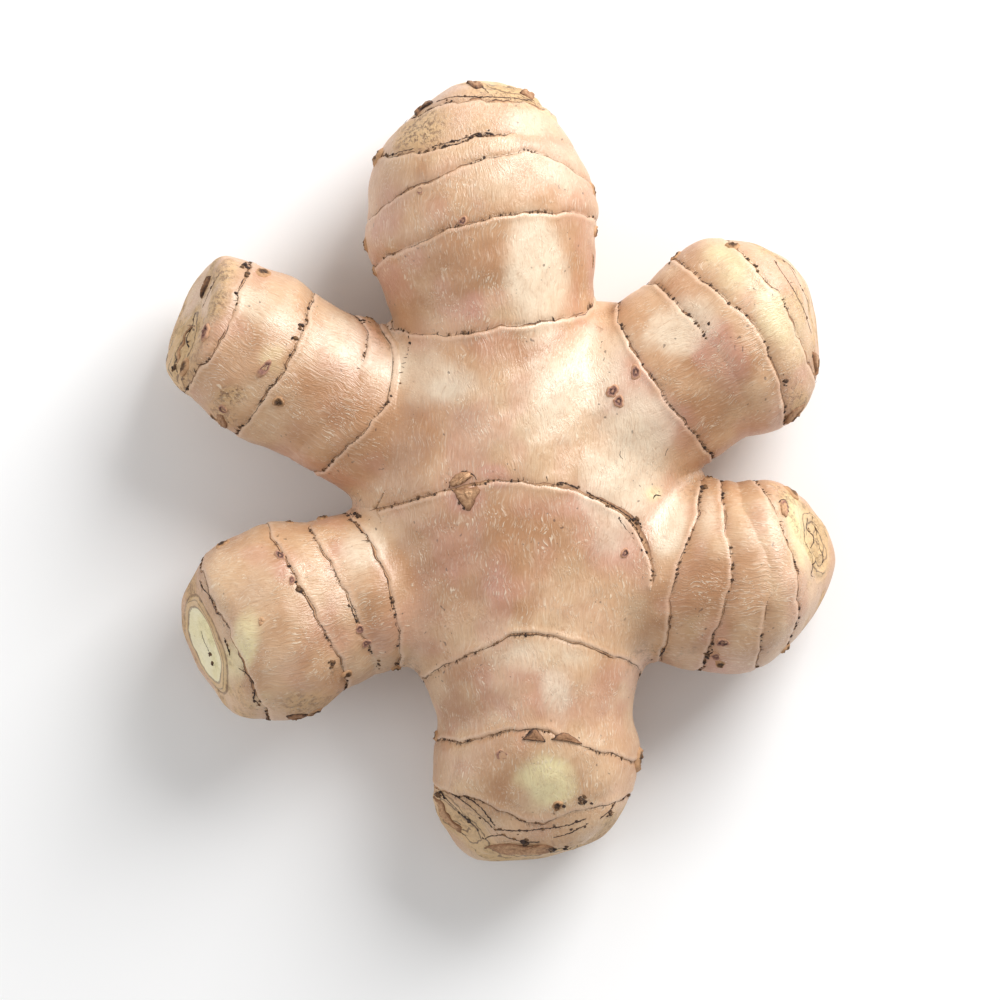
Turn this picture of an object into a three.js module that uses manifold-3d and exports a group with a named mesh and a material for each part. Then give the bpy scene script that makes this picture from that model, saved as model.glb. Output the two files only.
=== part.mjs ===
// A fresh ginger root: one hand of rhizome with six stubby fingers, lying on its back.
// Millimetres. +Z is up, +Y points along the stem to the top finger, +X to the right of it.
// The origin is under the middle of the root, on the surface that it lies on.

import * as THREE from "three";
import { mergeVertices } from "three/addons/utils/BufferGeometryUtils.js";
import Module from "manifold-3d";

const wasm = await Module();
wasm.setup();

// Driving dimensions

const BLEND = 1.6; // how softly the fingers run into each other
const SHAVE = 0.35; // how deep the flat spot under the hub is worn into the skin
const LIP = 0.34; // height of the ridge that an old leaf sheath leaves
const LIP_WIDTH = 0.9; // from the ridge to the groove behind it
const GROOVE = 0.2; // depth of the groove behind the ridge
const BELLY = 0.25; // how far each segment bulges between two rings
const LUMP = 0.22; // slow unevenness of the skin
const RING_FADE = 15; // degrees over which a ring that dies out does so
const BORDER = 2.4; // how far before its first ring a finger begins
const LEAST_STRETCH = 0.8; // between two rings where they run together
const AXIL_RISE = 6.5; // half the height of the notch between two fingers
const REACH = 60; // longer than any ray inside the root

// Mesh density

const FRONT = 12; // columns over the upper side of a finger
const BACK = 8; // columns under it
const NOTCH = 2; // steps from the middle of a notch to its upper or lower end
const SEGMENT_STEP = 4.2; // rows along a finger are at most this far apart
const CAP_ROWS = 6; // rows over the tip
const HUB_ROWS = 6; // rows from the middle ring to the fingers
const MIDDLE_COLUMNS = 22; // columns along the middle ring
const KNOB_SIDES = 7;

// Branches: the stem runs through the whole root and carries four side fingers.
// A station is [along, offset to the left, half width, half thickness, height of the centre].
// A face is where a tip was cut or died back: [x, y, z], bearing, upward tilt, softness of its edge.

const STEM = {
  base: [0, 0],
  bearing: 90,
  stations: [
    [-60, -4.4, 13.6, 11.6, 14.4],
    [-54, -4.6, 14.9, 12.8, 14.6],
    [-44, -5.6, 15.8, 13.6, 15.0],
    [-38, -5.3, 15.0, 13.4, 15.2],
    [-32, -4.7, 17.0, 14.2, 15.2],
    [-18, -4.0, 21.6, 15.4, 15.3],
    [-4, -3.0, 24.4, 15.9, 15.6],
    [10, -1.0, 20.2, 15.4, 15.7],
    [22, 0.6, 15.6, 14.4, 15.8],
    [34, 3.0, 17.4, 15.4, 16.2],
    [41, 2.8, 17.5, 15.4, 16.2],
    [48, 3.5, 15.7, 14.0, 16.2],
    [54, 3.7, 12.0, 11.4, 16.0],
    [60, 4.2, 8.6, 8.6, 15.8],
  ],
  faces: [
    [[4.0, 59.1, 15.0], 86, 4, 3.0],
    [[-13.4, 55.0, 15.0], 128, 6, 3.0],
    [[4.6, -60.1, 13.4], 271, 6, 2.5],
    [[-6.7, -54.6, 16.8], 228, 22, 1.4],
    [[16.0, -56.6, 14.0], 300, 4, 3.0],
    [[6.0, -47.0, 27.2], 268, 62, 2.5],
  ],
};

const UPPER_LEFT = {
  base: [-9.2, 3.8],
  bearing: 153,
  stations: [
    [0, 0, 9, 8, 15.6],
    [9, 0.4, 11.9, 10.6, 15.6],
    [16, 0.6, 12.4, 11.2, 15.7],
    [24, 0.6, 11.9, 11.2, 15.9],
    [31, 0.4, 12.9, 12.0, 16.2],
    [37, 0.2, 11.8, 11.2, 16.4],
    [42, 0, 10.9, 10.6, 16.6],
    [50, 0, 9.6, 10.0, 16.8],
  ],
  faces: [
    [[-48.2, 22.2, 16.2], 159, 16, 2.0],
    [[-47.4, 9.0, 16.0], 228, 6, 3.0],
  ],
};

const UPPER_RIGHT = {
  base: [5, 1],
  bearing: 32,
  stations: [
    [0, 0, 9, 8, 15.6],
    [14, -0.2, 13.0, 12.2, 15.6],
    [24, -0.3, 14.1, 13.0, 15.9],
    [29, -0.3, 14.0, 13.0, 16.1],
    [36, -0.3, 15.3, 13.8, 16.4],
    [41, 0, 14.8, 13.2, 16.6],
    [46, 0.6, 12.6, 11.8, 16.8],
    [53, 1.4, 9.6, 9.6, 17.0],
  ],
  faces: [
    [[48.8, 21.6, 16.2], 14, 8, 5.0],
    [[40.6, 34.4, 16.0], 62, 2, 4.0],
  ],
};

const LOWER_LEFT = {
  base: [-8, -16],
  bearing: 196,
  stations: [
    [0, 0, 9, 8, 15.4],
    [10, 0, 11.9, 11.2, 15.4],
    [16, -0.2, 12.5, 11.6, 15.6],
    [20, -0.4, 13.2, 12.2, 15.8],
    [25, 0, 15.0, 13.2, 16.0],
    [30, 0.6, 14.7, 13.0, 16.2],
    [35, 0.2, 13.4, 12.0, 16.4],
    [44, 0.2, 10.8, 11.0, 16.6],
  ],
  faces: [
    [[-46.0, -27.4, 16.8], 199, 25, 1.6],
    [[-48.9, -28.2, 11.0], 199, -8, 3.0],
    [[-49.0, -19.0, 16.0], 162, 8, 3.0],
    [[-46.8, -32.0, 14.0], 216, 10, 3.0],
  ],
};

const LOWER_RIGHT = {
  base: [12, -16.6],
  bearing: 0,
  stations: [
    [0, 0, 9, 8, 15.4],
    [11, -0.2, 12.5, 11.6, 15.4],
    [18, -0.1, 14.2, 12.8, 15.7],
    [25, -0.4, 14.8, 13.4, 16.0],
    [29, 0.5, 14.3, 13.2, 16.2],
    [33, 0.9, 12.4, 12.2, 16.4],
    [38, 1.4, 9.4, 10.6, 16.6],
    [44, 1.8, 8.0, 9.0, 16.8],
  ],
  faces: [
    [[49.8, -13.4, 16.2], 16, 18, 3.0],
    [[49.0, -21.6, 16.0], -28, 8, 4.0],
  ],
};

const BRANCHES = [STEM, UPPER_LEFT, UPPER_RIGHT, LOWER_LEFT, LOWER_RIGHT];

// Fingers, clockwise as seen from above.
// A ring is where a scale leaf sat: its place along the finger at the left side, the upper left,
// the top, the upper right and the right side, looking from the hub to the tip.
// One that dies out has the angles, left of the top, between which it stands out.

const FINGERS = [
  {
    frame: UPPER_LEFT,
    rings: [
      { at: [15.5, 13.3, 10.5, 10.6, 16] },
      { at: [20, 18.5, 16.2, 16.8, 21], span: [-120, -25] },
      { at: [29, 28, 26.5, 27.3, 28] },
      { at: [39, 38.5, 37.4, 38.3, 39] },
    ],
  },
  {
    frame: STEM,
    rings: [
      { at: [22, 20.5, 21.4, 23, 25.6] },
      { at: [31, 34, 38, 39.5, 38] },
      { at: [38, 42.5, 47.3, 48, 43] },
      { at: [48, 48.4, 50.8, 51, 49.4], span: [-35, 110] },
      { at: [53.4, 55.2, 56.8, 56.2, 54.4] },
    ],
  },
  {
    frame: UPPER_RIGHT,
    rings: [
      { at: [24.6, 22.4, 22.2, 23.4, 23.8] },
      { at: [29.5, 31.6, 33, 32.6, 30], span: [5, 120] },
      { at: [34.4, 37, 39.8, 38.6, 35.4] },
      { at: [43.4, 44.4, 45.5, 44.7, 43.4] },
    ],
  },
  {
    frame: LOWER_RIGHT,
    rings: [
      { at: [19.2, 18.2, 15, 13.6, 12.6] },
      { at: [21.8, 22.6, 23.4, 20.8, 18.5] },
      { at: [24.4, 26, 29.4, 28.3, 27], span: [-120, -8] },
      { at: [27, 30.2, 33.6, 33.8, 31.5] },
    ],
  },
  {
    frame: reversed(STEM),
    rings: [
      { at: [32.5, 28.3, 25.6, 29.6, 33.4] },
      { at: [46, 44, 40.3, 42, 42] },
      { at: [50.4, 52.5, 55, 51, 49] },
    ],
  },
  {
    frame: LOWER_LEFT,
    rings: [
      { at: [12, 10.4, 9.3, 10.7, 13] },
      { at: [15.6, 15, 16, 18, 19], span: [-80, 60] },
      { at: [20.5, 20, 21.7, 24, 25] },
      { at: [33, 33.8, 35, 36.4, 36] },
    ],
  },
];

// A notch, or axil, lies between a finger and the next one clockwise, close to this [x, y].

const AXILS = [
  [-17.4, 21.4],
  [18.1, 25.4],
  [30.1, -2.2],
  [22.8, -31.3],
  [-15.6, -33.0],
  [-23.5, -5.9],
];

// The ring across the hub, from the left axil to the first ring of the lower right finger,
// and the line where it comes round under the hub.

const MIDDLE_RING = [
  [-20.2, -6.8],
  [-11.7, -4.5],
  [-2.4, -2.3],
  [6.1, -2.5],
  [13.1, -4.2],
  [19.3, -7.6],
  [23, -14],
];
const MIDDLE_RING_BELOW = [[-12, -8], [0, -11], [13, -8]];
const MIDDLE_RING_END = 0.55; // where it meets the lower right finger's ring, from its left to its right

// Buds and root stubs: [finger, along, degrees left of the top, radius, height].

const KNOBS = [
  [0, 18.6, -84, 1.2, 0.8],
  [0, 36.5, -70, 1.9, 0.7],
  [0, 33.0, 78, 1.5, 0.6],
  [0, 25.2, 26, 1.3, 0.8],
  [0, 40.5, 50, 1.7, 0.7],
  [1, 30.5, 86, 1.3, 0.6],
  [1, 34.6, 88, 1.6, 0.9],
  [1, 36.6, -88, 1.4, 0.7],
  [1, 43.2, -86, 1.6, 0.7],
  [1, 48.2, 84, 1.8, 1.1],
  [2, 35.6, 86, 1.3, 0.7],
  [2, 43.8, 62, 1.5, 0.7],
  [2, 38.0, -84, 1.5, 0.7],
  [3, 20.4, 86, 1.4, 0.8],
  [3, 33.0, 80, 1.7, 0.6],
  [3, 22.0, -66, 1.3, 0.8],
  [3, 32.0, -84, 1.3, 0.8],
  [4, 45.2, 84, 2.3, 1.1],
  [4, 41.5, -86, 1.3, 0.7],
  [4, 52.0, 22, 1.2, 0.7],
  [5, 12.0, 84, 1.2, 0.8],
  [5, 16.6, -84, 1.3, 0.9],
  [5, 19.6, 60, 1.2, 0.8],
  [5, 21.6, -84, 1.2, 0.7],
  [5, 26.0, 84, 2.0, 0.8],
  [5, 32.4, -80, 1.7, 0.7],
];
const HUB_KNOBS = [
  [-5.5, -2.9, 2.3, 1.3],
  [17.3, 11.6, 1.4, 0.6],
  [18.2, 9.9, 1.3, 0.6],
  [19.5, -13.6, 1.2, 0.6],
  [23.4, -4.2, 1.1, 0.5],
];

// Interpolation

function reversed(branch) {
  const stations = branch.stations.map(([s, offset, ...rest]) => [-s, -offset, ...rest]).reverse();
  return { ...branch, bearing: branch.bearing + 180, stations };
}

function lerp(a, b, t) {
  return a + (b - a) * t;
}

function smooth(t) {
  const c = Math.min(Math.max(t, 0), 1);
  return c * c * (3 - 2 * c);
}

// Cubic through rows of [position, value, value, ...].
function along(rows, position) {
  const last = rows.length - 1;
  const s = Math.min(Math.max(position, rows[0][0]), rows[last][0]);
  let i = 0;
  while (i < last - 1 && s > rows[i + 1][0]) i += 1;
  const width = rows[i + 1][0] - rows[i][0];
  const t = (s - rows[i][0]) / width;
  const slope = (k, c) => {
    if (k <= 0 || k >= last) return 0;
    return (rows[k + 1][c] - rows[k - 1][c]) / (rows[k + 1][0] - rows[k - 1][0]);
  };
  return rows[i].slice(1).map((value, k) => {
    const c = k + 1;
    const near = (2 * t ** 3 - 3 * t ** 2 + 1) * value + (t ** 3 - 2 * t ** 2 + t) * width * slope(i, c);
    return near + (3 * t ** 2 - 2 * t ** 3) * rows[i + 1][c] + (t ** 3 - t ** 2) * width * slope(i + 1, c);
  });
}

// A ring's place along its finger at an angle from the top, with its unseen underside made level
// with the slope of its upper side.
function ringAt(ring, angle) {
  const [left, upperLeft, top, upperRight, right] = ring.at;
  const below = (left + right) / 2 - 0.5 * (top - (left + right) / 2);
  const lowLeft = lerp(left, below, 0.6);
  const lowRight = lerp(right, below, 0.6);
  const values = [top, upperLeft, left, lowLeft, below, lowRight, right, upperRight];
  const turn = ((angle / (2 * Math.PI)) * 8 + 16) % 8;
  const i = Math.floor(turn);
  const t = turn - i;
  const [a, b, c, d] = [i + 7, i, i + 1, i + 2].map((k) => values[k % 8]);
  return b + 0.5 * t * (c - a + t * (2 * a - 5 * b + 4 * c - d + t * (3 * (b - c) + d - a)));
}

// The surface

function softMax(a, b, softness) {
  const h = Math.max(softness - Math.abs(a - b), 0) / softness;
  return Math.max(a, b) + (h * h * softness) / 4;
}

function axes(branch) {
  const bearing = THREE.MathUtils.degToRad(branch.bearing);
  return {
    forward: new THREE.Vector3(Math.cos(bearing), Math.sin(bearing), 0),
    left: new THREE.Vector3(-Math.sin(bearing), Math.cos(bearing), 0),
  };
}

// Negative inside a branch, about the distance to its skin near it.
function branchDistance(branch, p) {
  const { forward, left } = axes(branch);
  const q = new THREE.Vector3(p.x - branch.base[0], p.y - branch.base[1], 0);
  const s = q.dot(forward);
  const [offset, halfWidth, halfDepth, height] = along(branch.stations, s);
  const ratio = Math.hypot((q.dot(left) - offset) / halfWidth, (p.z - height) / halfDepth);
  let distance = (ratio - 1) * Math.sqrt(halfWidth * halfDepth);
  for (const [point, bearing, tilt, softness] of branch.faces) {
    const b = THREE.MathUtils.degToRad(bearing);
    const e = THREE.MathUtils.degToRad(tilt);
    const out = new THREE.Vector3(Math.cos(b) * Math.cos(e), Math.sin(b) * Math.cos(e), Math.sin(e));
    const beyond = out.dot(p.clone().sub(new THREE.Vector3(...point)));
    distance = softMax(distance, beyond, softness);
  }
  return branch === STEM ? distance : softMax(distance, -s, 3);
}

function rootDistance(p) {
  const sum = BRANCHES.reduce((total, branch) => total + Math.exp(-branchDistance(branch, p) / BLEND), 0);
  return -BLEND * Math.log(sum);
}

function outward(p) {
  const step = 0.2;
  const slope = (dx, dy, dz) => {
    const d = new THREE.Vector3(dx, dy, dz);
    return rootDistance(p.clone().add(d)) - rootDistance(p.clone().sub(d));
  };
  return new THREE.Vector3(slope(step, 0, 0), slope(0, step, 0), slope(0, 0, step)).normalize();
}

// The first point of the skin on a ray that starts inside the root.
function castOut(from, direction) {
  const at = (t) => from.clone().addScaledVector(direction, t);
  let inside = 0;
  let outside = 1;
  while (rootDistance(at(outside)) < 0 && outside < REACH) {
    inside = outside;
    outside += 1;
  }
  for (let i = 0; i < 24; i += 1) {
    const middle = (inside + outside) / 2;
    if (rootDistance(at(middle)) < 0) inside = middle;
    else outside = middle;
  }
  return at((inside + outside) / 2);
}

function lumps(p) {
  const a = Math.sin(0.31 * p.x + 0.9) * Math.sin(0.27 * p.y + 0.4) + Math.sin(0.23 * p.z + 0.37 * p.x);
  const b = Math.sin(0.61 * p.x - 0.43 * p.y + 1.7) * Math.sin(0.52 * p.y + 0.3 * p.z);
  return LUMP * (0.7 * a + 0.6 * b);
}

function ringStrength(ring, angle) {
  if (!ring.span) return 1;
  const degrees = THREE.MathUtils.euclideanModulo(THREE.MathUtils.radToDeg(angle) + 180, 360) - 180;
  const [from, to] = ring.span;
  return smooth((degrees - from) / RING_FADE) * smooth((to - degrees) / RING_FADE);
}

// Height of the skin near a ring: a ridge on the hub's side, a groove, then level again.
function ringRelief(beyond) {
  const ridge = LIP * Math.exp(-(((beyond + LIP_WIDTH) / LIP_WIDTH) ** 2));
  const groove = GROOVE * Math.exp(-((beyond / (0.5 * LIP_WIDTH)) ** 2));
  return ridge - groove;
}

// The mesh is gathered here: corners, and triangles that share them.

const corners = [];
const triangles = [];

function addCorner(skinPoint, relief) {
  const height = relief + lumps(skinPoint);
  corners.push(skinPoint.clone().addScaledVector(outward(skinPoint), height));
  return corners.length - 1;
}

function addTriangle(a, b, c) {
  if (a !== b && b !== c && c !== a) triangles.push([a, b, c]);
}

// Joins two rows of corners that need not have the same count. Their ends may be shared.
function stitch(rowA, rowB, flip) {
  let i = 0;
  let j = 0;
  while (i < rowA.length - 1 || j < rowB.length - 1) {
    const nextA = (i + 1) / (rowA.length - 1);
    const nextB = (j + 1) / (rowB.length - 1);
    const stepA = j === rowB.length - 1 || (i < rowA.length - 1 && nextA <= nextB);
    const next = stepA ? rowA[i + 1] : rowB[j + 1];
    if (flip) addTriangle(rowA[i], next, rowB[j]);
    else addTriangle(rowA[i], rowB[j], next);
    if (stepA) i += 1;
    else j += 1;
  }
}

// Fingers

// The point on a finger's centre line, and the direction that leaves it at an angle from the top.
function centre(frame, s) {
  const { forward, left } = axes(frame);
  const [offset, , , height] = along(frame.stations, s);
  const p = new THREE.Vector3(frame.base[0], frame.base[1], height);
  return p.addScaledVector(forward, s).addScaledVector(left, offset);
}

function spoke(frame, angle) {
  return axes(frame).left.multiplyScalar(Math.sin(angle)).setZ(Math.cos(angle));
}

// Where a point of the skin is on a finger: its distance along and its angle from the top.
function place(frame, p) {
  const { forward, left } = axes(frame);
  const q = new THREE.Vector3(p.x - frame.base[0], p.y - frame.base[1], 0);
  const s = q.dot(forward);
  const [offset, , , height] = along(frame.stations, s);
  return { s, angle: Math.atan2(q.dot(left) - offset, p.z - height) };
}

// The corners down a notch, from its upper end to its lower one.
function notch(index) {
  const bearings = [FINGERS[index].frame.bearing, FINGERS[(index + 1) % 6].frame.bearing];
  const sum = bearings
    .map((degrees) => THREE.MathUtils.degToRad(degrees))
    .reduce((v, b) => v.add(new THREE.Vector3(Math.cos(b), Math.sin(b), 0)), new THREE.Vector3());
  const out = sum.normalize();
  const middle = STEM.stations[6][4];
  const column = [];
  for (let k = NOTCH; k >= -NOTCH; k -= 1) {
    const level = middle + (k / NOTCH) * AXIL_RISE;
    const inner = new THREE.Vector3(...AXILS[index], level).addScaledVector(out, -7);
    column.push(addCorner(castOut(inner, out), 0));
  }
  return column;
}

// One side of a finger's border with the hub, between two notches.
function borderArc(finger, fromCorner, toCorner, count, toTurn) {
  const start = place(finger.frame, corners[fromCorner]);
  const end = place(finger.frame, corners[toCorner]);
  end.angle += toTurn;
  const border = (angle) => ringAt(finger.rings[0], angle) - BORDER;
  const startGap = start.s - border(start.angle);
  const endGap = end.s - border(end.angle);
  const arc = [];
  for (let i = 1; i < count; i += 1) {
    const t = i / count;
    const angle = lerp(start.angle, end.angle, t);
    const s = border(angle) + startGap * (1 - smooth(t * 1.4)) + endGap * (1 - smooth((1 - t) * 1.4));
    arc.push(addCorner(castOut(centre(finger.frame, s), spoke(finger.frame, angle)), 0));
  }
  return arc;
}

// Rows of a finger: which stretch between two rings they are in, how far along it, and a shift.
function fingerRows(finger) {
  const rows = [];
  finger.rings.forEach((ring, i) => {
    const length = i === 0 ? BORDER : Math.max(...ring.at.map((s, k) => s - finger.rings[i - 1].at[k]));
    const steps = Math.max(Math.ceil((length - 2 * LIP_WIDTH) / SEGMENT_STEP), 1);
    if (i > 0) rows.push({ stretch: i, t: 0, shift: LIP_WIDTH });
    for (let k = 1; k < steps; k += 1) rows.push({ stretch: i, t: k / steps, shift: 0 });
    rows.push({ stretch: i, t: 1, shift: -LIP_WIDTH });
    rows.push({ stretch: i, t: 1, shift: 0 });
  });
  return rows;
}

// A row's place on one column of a finger, and the height of the skin there.
function rowPlace(finger, row, angle, borderAt) {
  const ring = finger.rings[row.stretch];
  const before = finger.rings[row.stretch - 1];
  const first = before ? ringAt(before, angle) : borderAt;
  const second = Math.max(ringAt(ring, angle), first + LEAST_STRETCH);
  const gap = second - first;
  const shift = Math.sign(row.shift) * Math.min(Math.abs(row.shift), gap * 0.3);
  const s = lerp(first, second, row.t) + shift;
  const belly = before ? BELLY * Math.sin((Math.PI * (s - first)) / gap) : 0;
  const lastRing = before ? ringRelief(s - first) * ringStrength(before, angle) : 0;
  return { s, relief: belly + lastRing + ringRelief(s - second) * ringStrength(ring, angle) };
}

function buildFinger(finger, border, borderAngles) {
  const { frame, rings } = finger;
  const borderPlaces = border.map((corner) => place(frame, corners[corner]));
  let previous = border;
  fingerRows(finger).forEach((row, rowIndex) => {
    const ease = smooth((rowIndex + 1) / 6);
    const next = borderAngles.map((angle, j) => {
      const even = (j / border.length) * 2 * Math.PI + borderAngles[0];
      const turned = lerp(angle, even, ease);
      const { s, relief } = rowPlace(finger, row, turned, borderPlaces[j].s);
      return addCorner(castOut(centre(frame, s), spoke(frame, turned)), relief);
    });
    stitch([...previous, previous[0]], [...next, next[0]], false);
    previous = next;
  });
  closeTip(frame, rings[rings.length - 1].at, previous);
}

function closeTip(frame, lastRing, rim) {
  const { forward } = axes(frame);
  const core = centre(frame, Math.min(...lastRing) - 3);
  const starts = rim.map((corner) => corners[corner].clone().sub(core).normalize());
  let previous = rim;
  for (let k = 1; k < CAP_ROWS; k += 1) {
    const t = k / CAP_ROWS;
    const next = starts.map((start) => {
      const direction = start.clone().lerp(forward, t).normalize();
      return addCorner(castOut(core, direction), 0);
    });
    stitch([...previous, previous[0]], [...next, next[0]], false);
    previous = next;
  }
  const end = addCorner(castOut(core, forward), 0);
  previous.forEach((corner, j) => addTriangle(corner, end, previous[(j + 1) % previous.length]));
}

// Hub

function polylineAt(points, t) {
  const lengths = [0];
  for (let i = 1; i < points.length; i += 1) {
    lengths.push(lengths[i - 1] + points[i].distanceTo(points[i - 1]));
  }
  const target = t * lengths[lengths.length - 1];
  let i = 0;
  while (i < points.length - 2 && lengths[i + 1] < target) i += 1;
  const part = (target - lengths[i]) / (lengths[i + 1] - lengths[i]);
  return points[i].clone().lerp(points[i + 1], part);
}

function flat(p) {
  return new THREE.Vector3(p.x, p.y, 0);
}

// Skin point straight above or below [x, y] of a point.
function castVertical(p, side) {
  const [, , , height] = along(STEM.stations, p.y);
  return castOut(new THREE.Vector3(p.x, p.y, height), new THREE.Vector3(0, 0, side));
}

function middleLine(startCorner, endCorner, guide, side) {
  const points = guide.map(([x, y]) => new THREE.Vector3(x, y, 0));
  const curve = new THREE.CatmullRomCurve3([flat(corners[startCorner]), ...points, flat(corners[endCorner])]);
  const line = [startCorner];
  for (let i = 1; i < MIDDLE_COLUMNS; i += 1) {
    line.push(addCorner(castVertical(curve.getPointAt(i / MIDDLE_COLUMNS), side), ringRelief(0)));
  }
  line.push(endCorner);
  return line;
}

// Skin between the middle ring and the fingers' first rings, which share their two end corners.
function hubPatch(line, border, side, ridgeSide, flip) {
  const linePoints = line.map((corner) => flat(corners[corner]));
  const borderPoints = border.map((corner) => flat(corners[corner]));
  let previous = line;
  for (let k = 1; k <= HUB_ROWS; k += 1) {
    let next = border;
    if (k < HUB_ROWS) {
      const count = Math.round(lerp(line.length, border.length, k / HUB_ROWS));
      next = [line[0]];
      for (let j = 1; j < count - 1; j += 1) {
        const t = j / (count - 1);
        const near = polylineAt(linePoints, t);
        const far = polylineAt(borderPoints, t);
        const length = near.distanceTo(far);
        const edge = Math.min(LIP_WIDTH / length, 1 / HUB_ROWS);
        const inner = lerp(edge, 1 - 1 / HUB_ROWS, (k - 1) / (HUB_ROWS - 2));
        const relief = ringRelief((ridgeSide * inner) * length);
        next.push(addCorner(castVertical(near.lerp(far, inner), side), relief));
      }
      next.push(line[line.length - 1]);
    }
    stitch(previous, next, flip);
    previous = next;
  }
}

// Puts the skin together: six notches, the fingers' first rings, the fingers, and the hub's two faces.
function buildSkin() {
  const notches = AXILS.map((_, i) => notch(i));
  const arcs = FINGERS.map((finger, i) => {
    const left = notches[(i + 5) % 6];
    const right = notches[i];
    const upper = borderArc(finger, right[0], left[0], FRONT, 0);
    const lower = borderArc(finger, left[2 * NOTCH], right[2 * NOTCH], BACK, 2 * Math.PI);
    return { left, right, upper, lower };
  });
  FINGERS.forEach((finger, i) => {
    const { left, right, upper, lower } = arcs[i];
    const border = [right[0], ...upper, ...left, ...lower, ...right.slice(1).reverse()];
    const angles = border.map((corner) => place(finger.frame, corners[corner]).angle);
    for (let j = 1; j < angles.length; j += 1) {
      while (angles[j] < angles[j - 1] - Math.PI) angles[j] += 2 * Math.PI;
    }
    buildFinger(finger, border, angles);
  });
  const top = (i) => [...arcs[i].upper].reverse();
  const under = (i) => arcs[i].lower;
  const [topLeft, topRight] = [notches[5][0], notches[2][0]];
  const [lowLeft, lowRight] = [notches[5][2 * NOTCH], notches[2][2 * NOTCH]];
  const low = (i) => notches[i][2 * NOTCH];
  const meeting = Math.round(MIDDLE_RING_END * (FRONT - 1));
  const lowerRightTop = top(3);
  const end = lowerRightTop[meeting];

  const line = middleLine(topLeft, end, MIDDLE_RING, 1);
  const above = [topLeft, ...top(0), notches[0][0], ...top(1), notches[1][0], ...top(2), topRight];
  const below = [topLeft, ...arcs[5].upper, notches[4][0], ...arcs[4].upper, notches[3][0]];
  hubPatch(line, [...above, ...lowerRightTop.slice(0, meeting + 1)], 1, 1, true);
  hubPatch(line, [...below, ...lowerRightTop.slice(meeting).reverse()], 1, -1, false);

  const lineBelow = middleLine(lowLeft, lowRight, MIDDLE_RING_BELOW, -1);
  const upperEdge = [...under(0), low(0), ...under(1), low(1), ...under(2)];
  hubPatch(lineBelow, [lowLeft, ...upperEdge, lowRight], -1, 1, false);
  const lowerEdge = [...under(3), low(3), ...under(4), low(4), ...under(5)].reverse();
  hubPatch(lineBelow, [lowLeft, ...lowerEdge, lowRight], -1, -1, true);
}

// Solids

function solidFrom(geometry) {
  const bare = geometry.clone();
  bare.deleteAttribute("normal");
  bare.deleteAttribute("uv");
  const merged = mergeVertices(bare, 1e-4);
  const vertProperties = new Float32Array(merged.attributes.position.array);
  const triVerts = new Uint32Array(merged.index.array);
  return new wasm.Manifold(new wasm.Mesh({ numProp: 3, vertProperties, triVerts }));
}

function geometryFrom(solid) {
  const mesh = solid.getMesh();
  const geometry = new THREE.BufferGeometry();
  geometry.setAttribute("position", new THREE.BufferAttribute(new Float32Array(mesh.vertProperties), 3));
  geometry.setIndex(new THREE.BufferAttribute(new Uint32Array(mesh.triVerts), 1));
  geometry.computeVertexNormals();
  return geometry;
}

function skinGeometry() {
  buildSkin();
  const geometry = new THREE.BufferGeometry();
  geometry.setAttribute("position", new THREE.Float32BufferAttribute(corners.flatMap((p) => p.toArray()), 3));
  geometry.setIndex(triangles.flat());
  return geometry;
}

// A bud or root stub: a low blunt dome with its foot sunk into the skin.
function knobGeometry(skinPoint, radius, height) {
  const foot = 1.4;
  const profile = [
    [0, -foot],
    [radius * 0.9, -foot],
    [radius, 0],
    [radius * 0.62, height * 0.8],
    [0, height],
  ];
  const outline = profile.map(([x, y]) => new THREE.Vector2(x, y));
  const dome = new THREE.LatheGeometry(outline, KNOB_SIDES);
  const normal = outward(skinPoint);
  const turn = new THREE.Quaternion().setFromUnitVectors(new THREE.Vector3(0, 1, 0), normal);
  return dome.applyQuaternion(turn).translate(skinPoint.x, skinPoint.y, skinPoint.z);
}

function knobs() {
  const onFingers = KNOBS.map(([index, s, degrees, radius, height]) => {
    const { frame } = FINGERS[index];
    const angle = THREE.MathUtils.degToRad(degrees);
    return knobGeometry(castOut(centre(frame, s), spoke(frame, angle)), radius, height);
  });
  const onHub = HUB_KNOBS.map(([x, y, radius, height]) =>
    knobGeometry(castVertical(new THREE.Vector3(x, y, 0), 1), radius, height));
  return [...onFingers, ...onHub];
}

function flatSpotCutter() {
  const size = 2 * REACH;
  return new THREE.BoxGeometry(size, size, size).translate(0, 0, SHAVE - size / 2);
}

function rhizomeGeometry() {
  let solid = solidFrom(skinGeometry());
  for (const knob of knobs()) solid = solid.add(solidFrom(knob));
  solid = solid.subtract(solidFrom(flatSpotCutter()));
  return geometryFrom(solid).translate(0, 0, -SHAVE);
}

const skin = new THREE.MeshStandardMaterial({ color: 0xcda57d, roughness: 0.5, metalness: 0 });
const rhizome = new THREE.Mesh(rhizomeGeometry(), skin);
rhizome.name = "rhizome";

const group = new THREE.Group();
group.add(rhizome);

export default group;
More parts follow.
